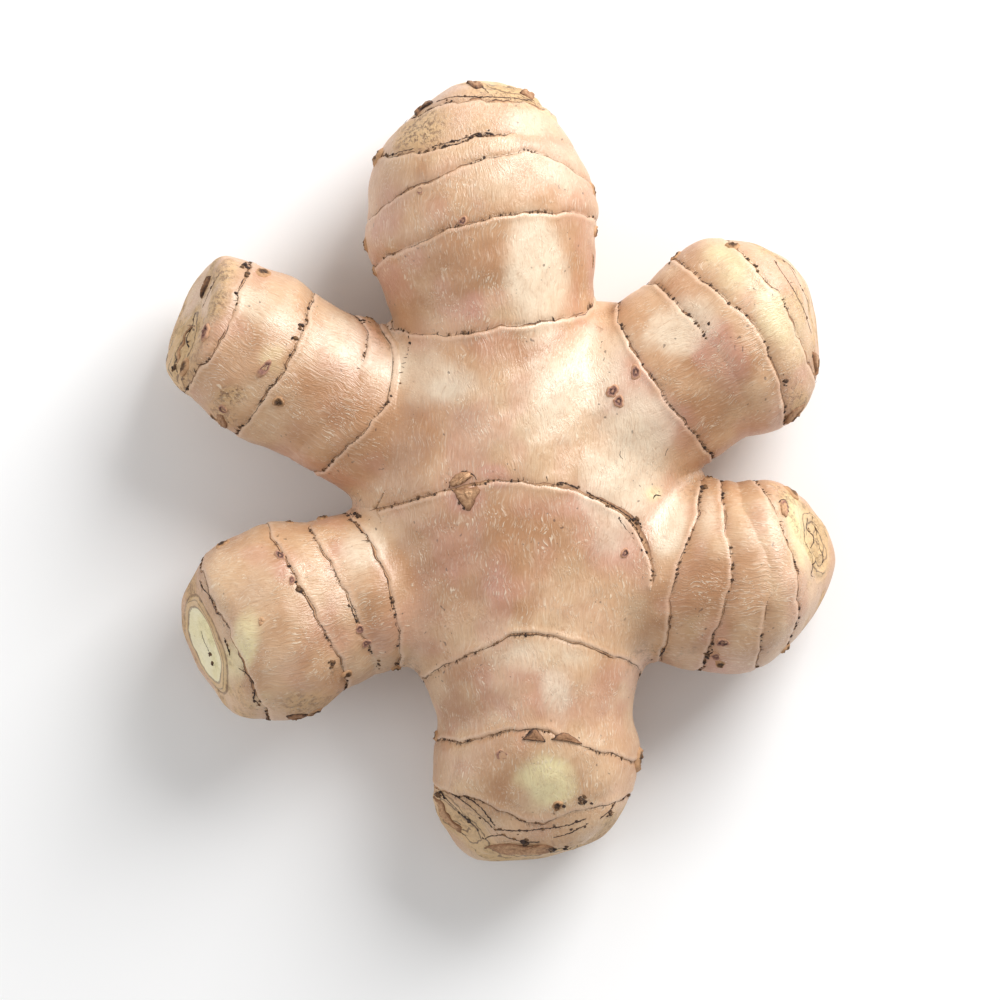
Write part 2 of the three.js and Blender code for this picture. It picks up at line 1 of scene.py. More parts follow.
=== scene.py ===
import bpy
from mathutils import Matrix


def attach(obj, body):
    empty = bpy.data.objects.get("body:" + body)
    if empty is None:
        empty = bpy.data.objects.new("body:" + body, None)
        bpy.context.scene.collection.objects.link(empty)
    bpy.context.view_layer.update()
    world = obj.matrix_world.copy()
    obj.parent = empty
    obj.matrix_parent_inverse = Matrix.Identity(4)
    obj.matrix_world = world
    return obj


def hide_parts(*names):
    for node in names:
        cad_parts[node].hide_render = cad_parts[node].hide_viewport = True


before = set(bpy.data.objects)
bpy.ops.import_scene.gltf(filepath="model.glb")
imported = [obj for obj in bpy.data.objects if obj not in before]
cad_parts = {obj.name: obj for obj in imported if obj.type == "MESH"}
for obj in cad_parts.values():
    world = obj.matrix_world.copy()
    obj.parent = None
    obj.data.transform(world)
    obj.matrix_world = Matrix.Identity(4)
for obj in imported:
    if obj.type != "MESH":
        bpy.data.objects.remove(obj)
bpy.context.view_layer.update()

import math

import bpy
import numpy as np
from mathutils import Vector

MM = 0.001  # everything below is in millimetres until it becomes a mesh

# Driving dimensions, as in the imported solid

BLEND = 1.6  # how softly the fingers run into each other
SHAVE = 0.35  # how deep the flat spot under the hub is worn
LIP = 0.12  # height of the ridge that an old leaf sheath leaves
LIP_WIDTH = 0.5  # from the ridge's crest to the ring
GROOVE = 0.12  # depth of the groove behind the ring
BELLY = 0.25  # how far each segment bulges between two rings
LUMP = 0.22  # slow unevenness of the skin
RING_FADE = 15  # degrees over which a ring that dies out does so
BORDER = 2.4  # how far before its first ring a finger begins
LEAST_STRETCH = 0.8  # between two rings where they run together
AXIL_RISE = 6.5  # half the height of the notch between two fingers
REACH = 60  # longer than any ray inside the root
MIDDLE_HEIGHT = 15.6  # of the hub's middle above the floor
BRANCH_MARGIN = 14  # a side finger has no effect further behind its base than this
GRAIN_REACH = 7  # how far a side finger's grain runs on into the hub
GRAIN_WIDTH = 19  # and how far to its sides
GRAIN_LEAD = 0.12  # by which one finger's grain has to outdo the next before it shows

# Mesh density

FRONT = 54  # columns over the upper side of a finger
BACK = 36  # columns under it
NOTCH = 9  # steps from the middle of a notch to its upper or lower end
ROW = 0.62  # distance between rows along a finger
AFTER_RING = (0.18, 0.4, 0.7, 1.1)  # rows just beyond a ring
BEFORE_RING = (1.5, 1.05, 0.7, 0.4, 0.18)  # rows just before it
CAP_ROWS = 40
HUB_ROWS = 36
CORNER_PACE = 0.92  # how much faster the hub's first row runs near its ends than its last row does
HUB_SMOOTHINGS = 8  # rounds in which the hub's corners move between their neighbours
MIDDLE_COLUMNS = 84
FAR = 8.0  # distances to a ring are kept up to here
STRAND_STEP = 0.22  # between the corners along a strand
PLATE_SIDES = 28
DOME_SIDES = 22
TORN_COLUMNS = 230  # round a finger, in the torn foot of a scale leaf
NOISE_RADIUS = 14  # about a finger's, for noise that runs along its rings
GUIDE_STEPS = 24  # between two given points of the ring across the hub

# Camera and light

FRAME_WIDTH = 155.0  # what the picture spans at the height of the root's outline
AIM = (-0.08, -4.96, MIDDLE_HEIGHT)
CAMERA_RISE = 2000.0
SENSOR = 36.0
WORLD_STRENGTH = 0.47
KEY_POWER = 7.6  # in watts, from the upper right of the picture
FILL_POWER = 1.2  # in watts, from its left
FLOOR_HALF = 3000.0


def mix(a, b, t):
    return a + (b - a) * t


def smooth(t):
    c = np.clip(t, 0.0, 1.0)
    return c * c * (3 - 2 * c)


HASH = np.array([73856093, 19349663, 83492791])  # large numbers that mix a cell's three indices into one


def lattice(cells, seed):
    """A smooth random field between 0 and 1 at points given in cells."""
    base = np.floor(cells).astype(np.int64)
    part = cells - base
    part = part * part * (3 - 2 * part)
    total = np.zeros(len(cells))
    for corner in range(8):
        step = np.array([corner & 1, (corner >> 1) & 1, corner >> 2])
        key = (base + step) @ HASH + seed * 97
        key = (key ^ (key >> 13)) * 1274126177 & 0xFFFFFFFF
        value = ((key ^ (key >> 16)) & 0xFFFF) / 65535.0
        total += value * np.prod(np.where(step, part, 1 - part), axis=1)
    return total


def along(rows, position):
    """Cubic through rows of (position, value, value, ...), at many positions."""
    x = rows[:, 0]
    values = rows[:, 1:]
    slopes = np.zeros_like(values)
    slopes[1:-1] = (values[2:] - values[:-2]) / (x[2:] - x[:-2])[:, None]
    s = np.clip(position, x[0], x[-1])
    i = np.clip(np.searchsorted(x, s, side="right") - 1, 0, len(x) - 2)
    width = (x[i + 1] - x[i])[:, None]
    t = (s - x[i])[:, None] / width
    near = (2 * t**3 - 3 * t**2 + 1) * values[i] + (t**3 - 2 * t**2 + t) * width * slopes[i]
    return near + (3 * t**2 - 2 * t**3) * values[i + 1] + (t**3 - t**2) * width * slopes[i + 1]


def soft_max(a, b, softness):
    h = np.maximum(softness - np.abs(a - b), 0) / softness
    return np.maximum(a, b) + h * h * softness / 4


def facing(bearing, tilt):
    """The direction at a bearing in degrees from +X, and so many degrees above level."""
    b, e = math.radians(bearing), math.radians(tilt)
    return np.array([math.cos(b) * math.cos(e), math.sin(b) * math.cos(e), math.sin(e)])


def between_four(a, b, c, d, t):
    """Smoothly from b at t = 0 to c at t = 1, with the slopes that a and d give."""
    return b + 0.5 * t * (c - a + t * (2 * a - 5 * b + 4 * c - d + t * (3 * (b - c) + d - a)))


def unit(vectors):
    return vectors / np.linalg.norm(vectors, axis=-1, keepdims=True)


class Branch:
    """A limb of the root.

    A station is (along, offset to the left, half width, half thickness, height of the centre).
    A face is where a tip was cut or died back: (x, y, z), bearing, upward tilt, softness.
    """

    def __init__(self, base, bearing, stations, faces):
        self.base = np.array(base, float)
        self.bearing = bearing
        self.forward = facing(bearing, 0)
        self.left = np.cross([0, 0, 1], self.forward)
        self.stations = np.array(stations, float)
        self.faces = faces

    def reversed(self):
        stations = self.stations[::-1] * [-1, -1, 1, 1, 1]
        return Branch(self.base, self.bearing + 180, stations, self.faces)

    def split(self, points):
        flat = points[:, :2] - self.base
        return flat @ self.forward[:2], flat @ self.left[:2]

    def distance(self, points):
        """Negative inside the limb, about the distance to its skin near it."""
        s, left = self.split(points)
        offset, half_width, half_depth, height = along(self.stations, s).T
        ratio = np.hypot((left - offset) / half_width, (points[:, 2] - height) / half_depth)
        distance = (ratio - 1) * np.sqrt(half_width * half_depth)
        for point, bearing, tilt, softness in self.faces:
            distance = soft_max(distance, (points - point) @ facing(bearing, tilt), softness)
        return distance if self is STEM else soft_max(distance, -s, 3)

    def centre(self, s):
        offset, _, _, height = along(self.stations, s).T
        points = np.outer(s, self.forward) + np.outer(offset, self.left)
        points[:, :2] += self.base
        points[:, 2] = height
        return points

    def spoke(self, angle):
        """The direction that leaves the centre line at an angle, turning left from the top."""
        return np.outer(np.sin(angle), self.left) + np.outer(np.cos(angle), [0, 0, 1])

    def place(self, points):
        """How far along the limb points of the skin are, and at which angle."""
        s, left = self.split(points)
        offset, _, _, height = along(self.stations, s).T
        return s, np.arctan2(left - offset, points[:, 2] - height)


STEM = Branch(
    (0, 0),
    90,
    [
        (-60, -4.4, 13.6, 11.6, 14.4), (-54, -4.6, 14.9, 12.8, 14.6), (-44, -5.6, 15.8, 13.6, 15.0),
        (-38, -5.3, 15.0, 13.4, 15.2), (-32, -4.7, 17.0, 14.2, 15.2), (-18, -4.0, 21.6, 15.4, 15.3),
        (-4, -3.0, 24.4, 15.9, 15.6), (10, -1.0, 20.2, 15.4, 15.7), (22, 0.6, 15.6, 14.4, 15.8),
        (34, 3.0, 17.4, 15.4, 16.2), (41, 2.8, 17.5, 15.4, 16.2), (48, 3.5, 15.7, 14.0, 16.2),
        (54, 3.7, 12.0, 11.4, 16.0), (60, 4.2, 8.6, 8.6, 15.8),
    ],
    [
        ((4.0, 59.1, 15.0), 86, 4, 3.0), ((-13.4, 55.0, 15.0), 128, 6, 3.0),
        ((4.6, -60.1, 13.4), 271, 6, 2.5), ((-6.7, -54.6, 16.8), 228, 22, 1.4),
        ((16.0, -56.6, 14.0), 300, 4, 3.0), ((6.0, -47.0, 27.2), 268, 62, 2.5),
    ],
)
UPPER_LEFT = Branch(
    (-9.2, 3.8),
    153,
    [
        (0, 0, 9, 8, 15.6), (9, 0.4, 11.9, 10.6, 15.6), (16, 0.6, 12.4, 11.2, 15.7),
        (24, 0.6, 11.9, 11.2, 15.9), (31, 0.4, 12.9, 12.0, 16.2), (37, 0.2, 11.8, 11.2, 16.4),
        (42, 0, 10.9, 10.6, 16.6), (50, 0, 9.6, 10.0, 16.8),
    ],
    [((-48.2, 22.2, 16.2), 159, 16, 2.0), ((-47.4, 9.0, 16.0), 228, 6, 3.0)],
)
UPPER_RIGHT = Branch(
    (5, 1),
    32,
    [
        (0, 0, 9, 8, 15.6), (14, -0.2, 13.0, 12.2, 15.6), (24, -0.3, 14.1, 13.0, 15.9),
        (29, -0.3, 14.0, 13.0, 16.1), (36, -0.3, 15.3, 13.8, 16.4), (41, 0, 14.8, 13.2, 16.6),
        (46, 0.6, 12.6, 11.8, 16.8), (53, 1.4, 9.6, 9.6, 17.0),
    ],
    [((48.8, 21.6, 16.2), 14, 8, 5.0), ((40.6, 34.4, 16.0), 62, 2, 4.0)],
)
LOWER_LEFT = Branch(
    (-8, -16),
    196,
    [
        (0, 0, 9, 8, 15.4), (10, 0, 11.9, 11.2, 15.4), (16, -0.2, 12.5, 11.6, 15.6),
        (20, -0.4, 13.2, 12.2, 15.8), (25, 0, 15.0, 13.2, 16.0), (30, 0.6, 14.7, 13.0, 16.2),
        (35, 0.2, 13.4, 12.0, 16.4), (44, 0.2, 10.8, 11.0, 16.6),
    ],
    [
        ((-46.0, -27.4, 16.8), 199, 25, 1.6), ((-48.9, -28.2, 11.0), 199, -8, 3.0),
        ((-49.0, -19.0, 16.0), 162, 8, 3.0), ((-46.8, -32.0, 14.0), 216, 10, 3.0),
    ],
)
LOWER_RIGHT = Branch(
    (12, -16.6),
    0,
    [
        (0, 0, 9, 8, 15.4), (11, -0.2, 12.5, 11.6, 15.4), (18, -0.1, 14.2, 12.8, 15.7),
        (25, -0.4, 14.8, 13.4, 16.0), (29, 0.5, 14.3, 13.2, 16.2), (33, 0.9, 12.4, 12.2, 16.4),
        (38, 1.4, 9.4, 10.6, 16.6), (44, 1.8, 8.0, 9.0, 16.8),
    ],
    [((49.8, -13.4, 16.2), 16, 18, 3.0), ((49.0, -21.6, 16.0), -28, 8, 4.0)],
)
BRANCHES = (STEM, UPPER_LEFT, UPPER_RIGHT, LOWER_LEFT, LOWER_RIGHT)


class Ring:
    """Where a scale leaf sat, by its place along the finger at the left side, the upper left, the
    top, the upper right and the right side. One that dies out has a span of degrees."""

    def __init__(self, left, upper_left, top, upper_right, right, span=None):
        side = (left + right) / 2
        below = side - 0.5 * (top - side)
        low_left, low_right = mix(left, below, 0.6), mix(right, below, 0.6)
        self.places = np.array([top, upper_left, left, low_left, below, low_right, right, upper_right])
        self.span = span
        self.phase = top + 3.7 * left

    def plain(self, angle):
        turn = np.mod(angle / (2 * math.pi) * 8, 8)
        i = np.floor(turn).astype(int)
        t = turn - i
        a, b, c, d = (self.places[(i + k) % 8] for k in (7, 0, 1, 2))
        return between_four(a, b, c, d, t)

    def at(self, angle):
        """The ring's place with the small waver of a torn edge."""
        waver = sum(
            size * np.sin(turns * angle + self.phase * turns)
            for turns, size in ((4, 0.14), (9, 0.12), (15, 0.1), (26, 0.07), (43, 0.05))
        )
        return self.plain(angle) + waver

    def strength(self, angle):
        if self.span is None:
            return np.ones_like(angle)
        degrees = np.mod(np.degrees(angle) + 180, 360) - 180
        low, high = self.span
        return smooth((degrees - low) / RING_FADE) * smooth((high - degrees) / RING_FADE)


# Fingers, clockwise as seen from above: the limb each lies on, and its rings from the hub outward

FINGERS = (
    (
        UPPER_LEFT,
        (
            Ring(15.5, 13.3, 10.5, 10.6, 16), Ring(20, 18.5, 16.2, 16.8, 21, span=(-120, -25)),
            Ring(29, 28, 26.5, 27.3, 28), Ring(39, 38.5, 37.4, 38.3, 39),
        ),
    ),
    (
        STEM,
        (
            Ring(22, 20.5, 21.4, 23, 25.6), Ring(31, 34, 38, 39.5, 38), Ring(38, 42.5, 47.3, 48, 43),
            Ring(48, 48.4, 50.8, 51, 49.4, span=(-35, 110)), Ring(53.4, 55.2, 56.8, 56.2, 54.4),
        ),
    ),
    (
        UPPER_RIGHT,
        (
            Ring(24.6, 22.4, 22.2, 23.4, 23.8), Ring(29.5, 31.6, 33, 32.6, 30, span=(5, 120)),
            Ring(34.4, 37, 39.8, 38.6, 35.4), Ring(43.4, 44.4, 45.5, 44.7, 43.4),
        ),
    ),
    (
        LOWER_RIGHT,
        (
            Ring(19.2, 18.2, 15, 13.6, 12.6), Ring(21.8, 22.6, 23.4, 20.8, 18.5),
            Ring(24.4, 26, 29.4, 28.3, 27, span=(-120, -8)), Ring(27, 30.2, 33.6, 33.8, 31.5),
        ),
    ),
    (
        STEM.reversed(),
        (
            Ring(32.5, 28.3, 25.6, 29.6, 33.4), Ring(46, 44, 40.3, 42, 42),
            Ring(50.4, 52.5, 55, 51, 49),
        ),
    ),
    (
        LOWER_LEFT,
        (
            Ring(12, 10.4, 9.3, 10.7, 13), Ring(15.6, 15, 16, 18, 19, span=(-80, 60)),
            Ring(20.5, 20, 21.7, 24, 25), Ring(33, 33.8, 35, 36.4, 36),
        ),
    ),
)
SIDE_FINGERS = (0, 2, 3, 5)

# A notch lies between a finger and the next one clockwise, close to this (x, y)

AXILS = ((-17.4, 21.4), (18.1, 25.4), (30.1, -2.2), (22.8, -31.3), (-15.6, -33.0), (-23.5, -5.9))

# The ring across the hub, above and below, and where it meets the lower right finger's first ring

MIDDLE_RING = (
    (-20.2, -6.8), (-11.7, -4.5), (-2.4, -2.3), (6.1, -2.5), (13.1, -4.2), (19.3, -7.6), (23, -14),
)
MIDDLE_RING_BELOW = ((-12, -8), (0, -11), (13, -8))
MIDDLE_RING_END = 0.55

# Root stubs: (finger, along, degrees left of the top, radius, height)

STUBS = (
    (0, 18.6, -84, 1.2, 0.8), (0, 36.5, -70, 1.9, 0.7), (0, 33.0, 78, 1.5, 0.6),
    (0, 25.2, 26, 1.3, 0.8), (0, 40.5, 50, 1.7, 0.7), (1, 30.5, 86, 1.3, 0.6), (1, 34.6, 88, 1.6, 0.9),
    (1, 36.6, -88, 1.4, 0.7), (1, 43.2, -86, 1.6, 0.7), (1, 48.2, 84, 1.8, 1.1),
    (2, 35.6, 86, 1.3, 0.7), (2, 43.8, 62, 1.5, 0.7), (2, 38.0, -84, 1.5, 0.7), (3, 20.4, 86, 1.4, 0.8),
    (3, 33.0, 80, 1.7, 0.6), (3, 22.0, -66, 1.3, 0.8), (3, 32.0, -84, 1.3, 0.8),
    (4, 45.2, 84, 2.3, 1.1), (4, 41.5, -86, 1.3, 0.7), (4, 52.0, 22, 1.2, 0.7), (5, 12.0, 84, 1.2, 0.8),
    (5, 16.6, -84, 1.3, 0.9), (5, 19.6, 60, 1.2, 0.8), (5, 21.6, -84, 1.2, 0.7),
    (5, 26.0, 84, 2.0, 0.8), (5, 32.4, -80, 1.7, 0.7), (0, 22.0, 150, 1.2, 0.5),
    (0, 31.0, -140, 1.5, 0.5), (1, 28.0, 160, 1.6, 0.5), (1, 41.0, -150, 1.4, 0.5),
    (1, 44.0, 130, 1.1, 0.5), (2, 27.0, -135, 1.4, 0.5), (2, 36.0, 150, 1.2, 0.5),
    (3, 22.0, -150, 1.3, 0.5), (3, 29.0, 140, 1.1, 0.5), (4, 37.0, 150, 1.5, 0.5),
    (4, 44.0, -140, 1.3, 0.5), (5, 19.0, 145, 1.4, 0.5), (5, 29.0, -145, 1.2, 0.5),
)

# Places on the upper side that were measured on the photograph are kept as its pixels

PIXEL = 0.155  # what one pixel spans, in millimetres
ORIGIN_PIXEL = (500.5, 468.0)

# Ring-shaped scars of roots and buds: x, y, half length, half width, turn, height in millimetres

SCARS = (
    (612, 392, 6, 5, 20, 0.35), (618, 402, 5, 5, 0, 0.35), (635, 373, 5, 6, 0, 0.35),
    (624, 553, 4, 4, 0, 0.3), (208, 334, 8, 4, 75, 0.45), (266, 369, 10, 4, 55, 0.5),
    (225, 408, 6, 4, 140, 0.5), (722, 641, 6, 5, 0, 0.5), (715, 655, 5, 5, 0, 0.45),
    (783, 507, 9, 4, 105, 0.4), (361, 629, 5, 4, 60, 0.3), (367, 643, 5, 4, 60, 0.35),
    (281, 555, 6, 4, 110, 0.3), (293, 580, 4, 3, 90, 0.3), (502, 753, 6, 5, 40, 0.25),
    (421, 193, 3, 4, 0, 0.25), (463, 223, 4, 4, 0, 0.4),
)

# Dark strands along cracks and edges: half width in millimetres, crumbs per millimetre, x and y

MARKS = (
    # Upper left tip
    (0.16, 1.2, ((194, 312), (190, 326), (188, 339), (189, 352), (185, 361))),
    (0.18, 1.4, ((184, 326), (179, 339), (176, 350), (176, 361), (177, 373))),
    (0.14, 0.8, ((187, 355), (183, 365))),
    (0.08, 0.2, ((221, 276), (211, 291), (203, 308))),
    (0.12, 0.6, ((193, 384), (201, 394))),
    (0.2, 1.6, ((211, 403), (220, 405), (226, 412), (229, 421))),
    (0.14, 1.0, ((273, 360), (266, 366), (260, 377))),
    (0.14, 1.2, ((279, 377), (277, 384), (270, 387))),
    (0.12, 3.0, ((206, 275), (204, 283), (199, 290), (195, 295))),
    # Top tip
    (0.13, 0.9, ((437, 104), (454, 99), (472, 98), (497, 98), (516, 100), (534, 104))),
    (0.2, 1.6, ((440, 146), (456, 142), (472, 137), (481, 134), (494, 137))),
    (0.14, 1.2, ((445, 148), (460, 145), (477, 141), (490, 134))),
    (0.1, 0.8, ((386, 158), (413, 151), (440, 147))),
    (0.1, 1.0, ((530, 145), (538, 148), (547, 149))),
    (0.1, 0.6, ((474, 188), (483, 186), (491, 182))),
    (0.1, 1.4, ((406, 142), (416, 136), (427, 129), (439, 120))),
    (0.08, 1.4, ((409, 135), (421, 126), (431, 124))),
    (0.08, 1.2, ((412, 142), (423, 136), (433, 130))),
    (0.12, 1.2, ((471, 84), (480, 86), (489, 94))),
    (0.12, 0.5, ((493, 214), (488, 205))),
    (0.1, 0.3, ((508, 211), (504, 206))),
    (0.1, 0.3, ((533, 211), (532, 204))),
    (0.12, 0.3, ((546, 207), (541, 199))),
    (0.16, 1.0, ((558, 209), (555, 203), (550, 204))),
    # Upper right tip
    (0.09, 0.4, ((773, 261), (783, 278), (796, 298), (807, 320), (811, 334))),
    (0.08, 0.2, ((788, 268), (800, 287), (811, 310))),
    (0.12, 1.6, ((782, 262), (790, 266), (797, 273))),
    (0.14, 1.4, ((812, 356), (816, 366), (818, 374))),
    (0.2, 1.0, ((778, 366), (783, 378), (786, 392))),
    (0.12, 1.6, ((782, 424), (790, 418), (798, 414), (807, 406))),
    (0.12, 0.6, ((708, 324), (716, 337))),
    # Lower right tip
    (0.14, 1.2, ((805, 518), (808, 530), (812, 538), (811, 548))),
    (0.12, 1.0, ((815, 558), (811, 575), (816, 577))),
    (0.16, 0.5, ((777, 503), (782, 500), (787, 506), (786, 516))),
    (0.12, 0.8, ((817, 514), (822, 528), (826, 545), (828, 562))),
    (0.22, 2.2, ((719, 645), (712, 652), (706, 658))),
    (0.22, 1.0, ((700, 633), (690, 638), (678, 647))),
    (0.2, 0.9, ((665, 647), (656, 660))),
    (0.09, 0.6, ((765, 619), (770, 624))),
    (0.09, 0.6, ((768, 607), (773, 612))),
    (0.12, 1.2, ((767, 660), (757, 668))),
    # Bottom tip
    (0.16, 0.4, ((437, 784), (446, 783), (466, 796), (482, 808), (494, 826))),
    (0.12, 0.3, ((450, 790), (474, 809), (492, 828))),
    (0.2, 0.8, ((443, 790), (450, 799), (459, 810))),
    (0.5, 1.2, ((459, 810), (468, 817), (474, 825), (477, 832))),
    (0.12, 0.8, ((435, 796), (446, 817), (468, 836))),
    (0.13, 0.7, ((495, 830), (522, 830), (546, 827), (570, 823), (586, 817))),
    (0.12, 0.8, ((482, 839), (500, 835), (514, 839), (528, 842), (540, 841))),
    (0.1, 0.6, ((553, 836), (570, 831), (588, 822))),
    (0.14, 2.4, ((486, 847), (500, 851), (514, 853), (530, 853), (548, 851), (562, 846))),
    (0.12, 0.8, ((619, 794), (612, 807), (600, 818))),
    (0.1, 0.6, ((624, 784), (620, 797))),
    (0.14, 1.8, ((520, 737), (528, 732), (535, 729), (541, 735), (547, 738), (556, 736), (566, 733),
                 (578, 739))),
    (0.1, 0.4, ((604, 764), (603, 773))),
    (0.1, 0.4, ((620, 773), (615, 779))),
    (0.08, 0.0, ((485, 783), (489, 788))),
    (0.08, 0.0, ((537, 754), (541, 756))),
    (0.08, 0.0, ((579, 784), (587, 780))),
    # Lower left tip
    (0.09, 0.2, ((199, 631), (203, 640), (208, 652))),
    (0.16, 1.4, ((226, 637), (228, 646), (230, 654))),
    (0.12, 1.0, ((200, 580), (203, 587), (212, 596), (215, 603))),
    (0.08, 0.5, ((213, 556), (219, 569), (222, 580), (218, 599))),
    (0.12, 1.0, ((239, 668), (250, 676), (256, 687), (255, 698), (261, 706))),
    (0.14, 1.6, ((285, 717), (296, 718), (308, 716))),
    (0.14, 0.6, ((350, 603), (354, 612), (357, 621))),
    (0.28, 1.6, ((377, 666), (385, 664), (393, 660))),
    (0.16, 1.2, ((393, 661), (399, 666), (404, 671))),
    (0.16, 1.0, ((349, 513), (356, 519), (364, 527))),
    # Hub
    (0.12, 0.4, ((546, 476), (547, 482))),
    (0.14, 1.6, ((558, 482), (569, 485), (578, 489))),
    (0.12, 1.0, ((586, 492), (599, 499), (611, 505), (631, 519), (641, 528))),
    (0.1, 1.0, ((588, 497), (609, 511), (625, 528), (634, 540), (643, 554), (652, 572))),
    (0.1, 1.2, ((626, 519), (634, 527), (639, 537), (641, 545))),
    (0.14, 0.3, ((652, 499), (655, 495), (660, 496))),
    (0.09, 0.3, ((619, 451), (619, 457), (622, 459))),
    (0.09, 0.3, ((667, 448), (664, 456))),
    (0.16, 0.6, ((449, 488), (451, 482), (456, 476), (464, 472), (471, 474), (477, 480))),
    (0.12, 0.6, ((452, 490), (458, 499), (468, 509), (474, 499), (480, 489))),
)

# Low plates of torn scale and cork: rise in millimetres, how dark, then the outline as x and y

PLATES = (
    (0.35, 0.5, ((452, 490), (466, 487), (481, 488), (477, 498), (469, 511), (459, 501))),
    (0.45, 0.0, ((464, 492), (470, 490), (474, 492), (470, 499), (467, 497))),
    (0.4, 0.45, ((448, 483), (455, 475), (466, 471), (473, 476), (464, 483), (453, 487))),
    (0.7, 0.0, ((456, 484), (463, 477), (469, 473), (471, 476), (463, 482), (458, 486))),
    (0.45, 0.9, ((522, 738), (529, 730), (535, 726), (540, 732), (546, 740), (534, 739))),
    (0.4, 0.8, ((550, 738), (563, 731), (574, 735), (583, 743), (568, 740))),
    (0.5, 0.55, ((520, 92), (526, 90), (531, 95), (533, 101), (525, 99))),
    (0.6, 0.75, ((413, 114), (420, 107), (432, 101), (434, 104), (424, 109), (416, 117))),
    (0.5, 0.6, ((466, 83), (476, 82), (484, 88), (474, 90))),
    (0.7, 0.7, ((196, 296), (199, 284), (205, 275), (210, 277), (207, 286), (201, 295))),
    (0.5, 0.6, ((218, 413), (224, 412), (229, 421), (227, 428), (221, 424))),
    (0.35, 0.3, ((176, 345), (180, 330), (186, 322), (186, 336), (182, 350), (179, 366))),
    (0.35, 0.2, ((260, 618), (264, 615), (267, 620), (261, 626))),
    (0.5, 0.5, ((781, 422), (790, 410), (806, 402), (808, 408), (797, 416), (786, 425))),
    (0.5, 0.5, ((812, 352), (817, 354), (821, 368), (818, 376), (814, 366))),
    (0.4, 0.3, ((779, 505), (783, 503), (786, 508), (785, 516), (781, 514))),
    (0.6, 0.8, ((286, 715), (296, 712), (308, 713), (309, 717), (296, 720))),
    (0.4, 0.5, ((484, 846), (505, 843), (530, 846), (552, 843), (548, 851), (520, 855), (496, 852))),
    (0.4, 0.45, ((437, 796), (444, 802), (452, 816), (464, 830), (458, 832), (444, 818))),
    (0.35, 0.4, ((601, 253), (604, 262), (600, 270), (597, 262))),
)

# Clots of dead, dark tissue: x, y, radius and how many lumps

CLOTS = (
    (583, 799, 6, 26), (563, 804, 2, 4), (441, 794, 3, 6), (611, 813, 3, 7), (552, 848, 5, 12),
    (566, 846, 3, 6), (525, 844, 4, 8), (210, 655, 2, 4), (212, 663, 2, 4), (331, 663, 5, 14),
    (301, 591, 3, 6), (707, 655, 4, 9), (380, 665, 5, 12), (302, 327, 3, 7), (295, 339, 3, 5),
    (245, 268, 3, 7), (247, 277, 2, 4), (635, 521, 4, 8), (705, 490, 4, 8), (356, 516, 5, 9),
    (367, 322, 5, 9), (223, 404, 3, 6), (176, 368, 3, 6), (479, 137, 3, 5), (708, 325, 2, 4),
    (785, 385, 3, 6), (669, 264, 3, 6),
)


# The surface

def root_distance(points):
    total = np.exp(-STEM.distance(points) / BLEND)
    for branch in BRANCHES[1:]:
        s, left = branch.split(points)
        near = (s > -BRANCH_MARGIN) & (np.abs(left) < 2 * BRANCH_MARGIN)
        total[near] += np.exp(-branch.distance(points[near]) / BLEND)
    return -BLEND * np.log(total)


def outward(points):
    slope = np.empty_like(points)
    for axis in range(3):
        step = np.zeros(3)
        step[axis] = 0.2
        slope[:, axis] = root_distance(points + step) - root_distance(points - step)
    return unit(slope)


def cast_out(start, direction):
    """The first points of the skin on rays that start inside the root."""
    direction = np.broadcast_to(direction, start.shape)
    low = np.zeros(len(start))
    low_gap = root_distance(start)
    high, high_gap = low.copy(), low_gap.copy()
    active = np.flatnonzero(low_gap < 0)
    while len(active) and high.max() < REACH:
        low[active], low_gap[active] = high[active], high_gap[active]
        high[active] += np.maximum(-0.6 * low_gap[active], 0.4)
        high_gap[active] = root_distance(start[active] + direction[active] * high[active, None])
        active = active[high_gap[active] < 0]
    for _ in range(6):
        share = np.clip(low_gap / np.minimum(low_gap - high_gap, -1e-9), 0.04, 0.96)
        middle = mix(low, high, share)
        gap = root_distance(start + direction * middle[:, None])
        inside = gap < 0
        low, low_gap = np.where(inside, middle, low), np.where(inside, gap, low_gap * 0.5)
        high, high_gap = np.where(inside, high, middle), np.where(inside, high_gap * 0.5, gap)
    share = low_gap / np.minimum(low_gap - high_gap, -1e-9)
    return start + direction * mix(low, high, np.clip(share, 0, 1))[:, None]


def at_middle_height(flat):
    """Points inside the root at the height of the stem's middle."""
    return np.column_stack([flat, along(STEM.stations, flat[:, 1])[:, 3]])


def cast_vertical(flat, side):
    return cast_out(at_middle_height(flat), np.array([0.0, 0.0, side]))


def unevenness(p):
    x, y, z = p.T
    a = np.sin(0.31 * x + 0.9) * np.sin(0.27 * y + 0.4) + np.sin(0.23 * z + 0.37 * x)
    b = np.sin(0.61 * x - 0.43 * y + 1.7) * np.sin(0.52 * y + 0.3 * z)
    slow = LUMP * (0.7 * a + 0.6 * b)
    return slow + 0.16 * (lattice(p / 3.1, 5) - 0.5) + 0.07 * (lattice(p / 1.3, 9) - 0.5)


def on_photo(pixels):
    """Millimetres along x and y."""
    return (np.array(pixels, float) - ORIGIN_PIXEL) * [PIXEL, -PIXEL]


def settle(points, relief=0.0):
    """Points of the skin where they end up, and the directions that the skin faces there."""
    normals = outward(points)
    height = relief + unevenness(points)
    settled = points + normals * height[:, None]
    settled[:, 2] = np.maximum(settled[:, 2] - SHAVE, 0.0)
    return settled, normals


def ring_relief(beyond):
    """Height of the skin near a ring: a ridge on the hub's side, a groove, then level again."""
    ridge = LIP * np.exp(-(((beyond + LIP_WIDTH) / LIP_WIDTH) ** 2))
    groove = GROOVE * np.exp(-(((beyond - 0.12) / 0.32) ** 2))
    return ridge - groove


# The skin's mesh is gathered here: corners with what is known about each, and faces

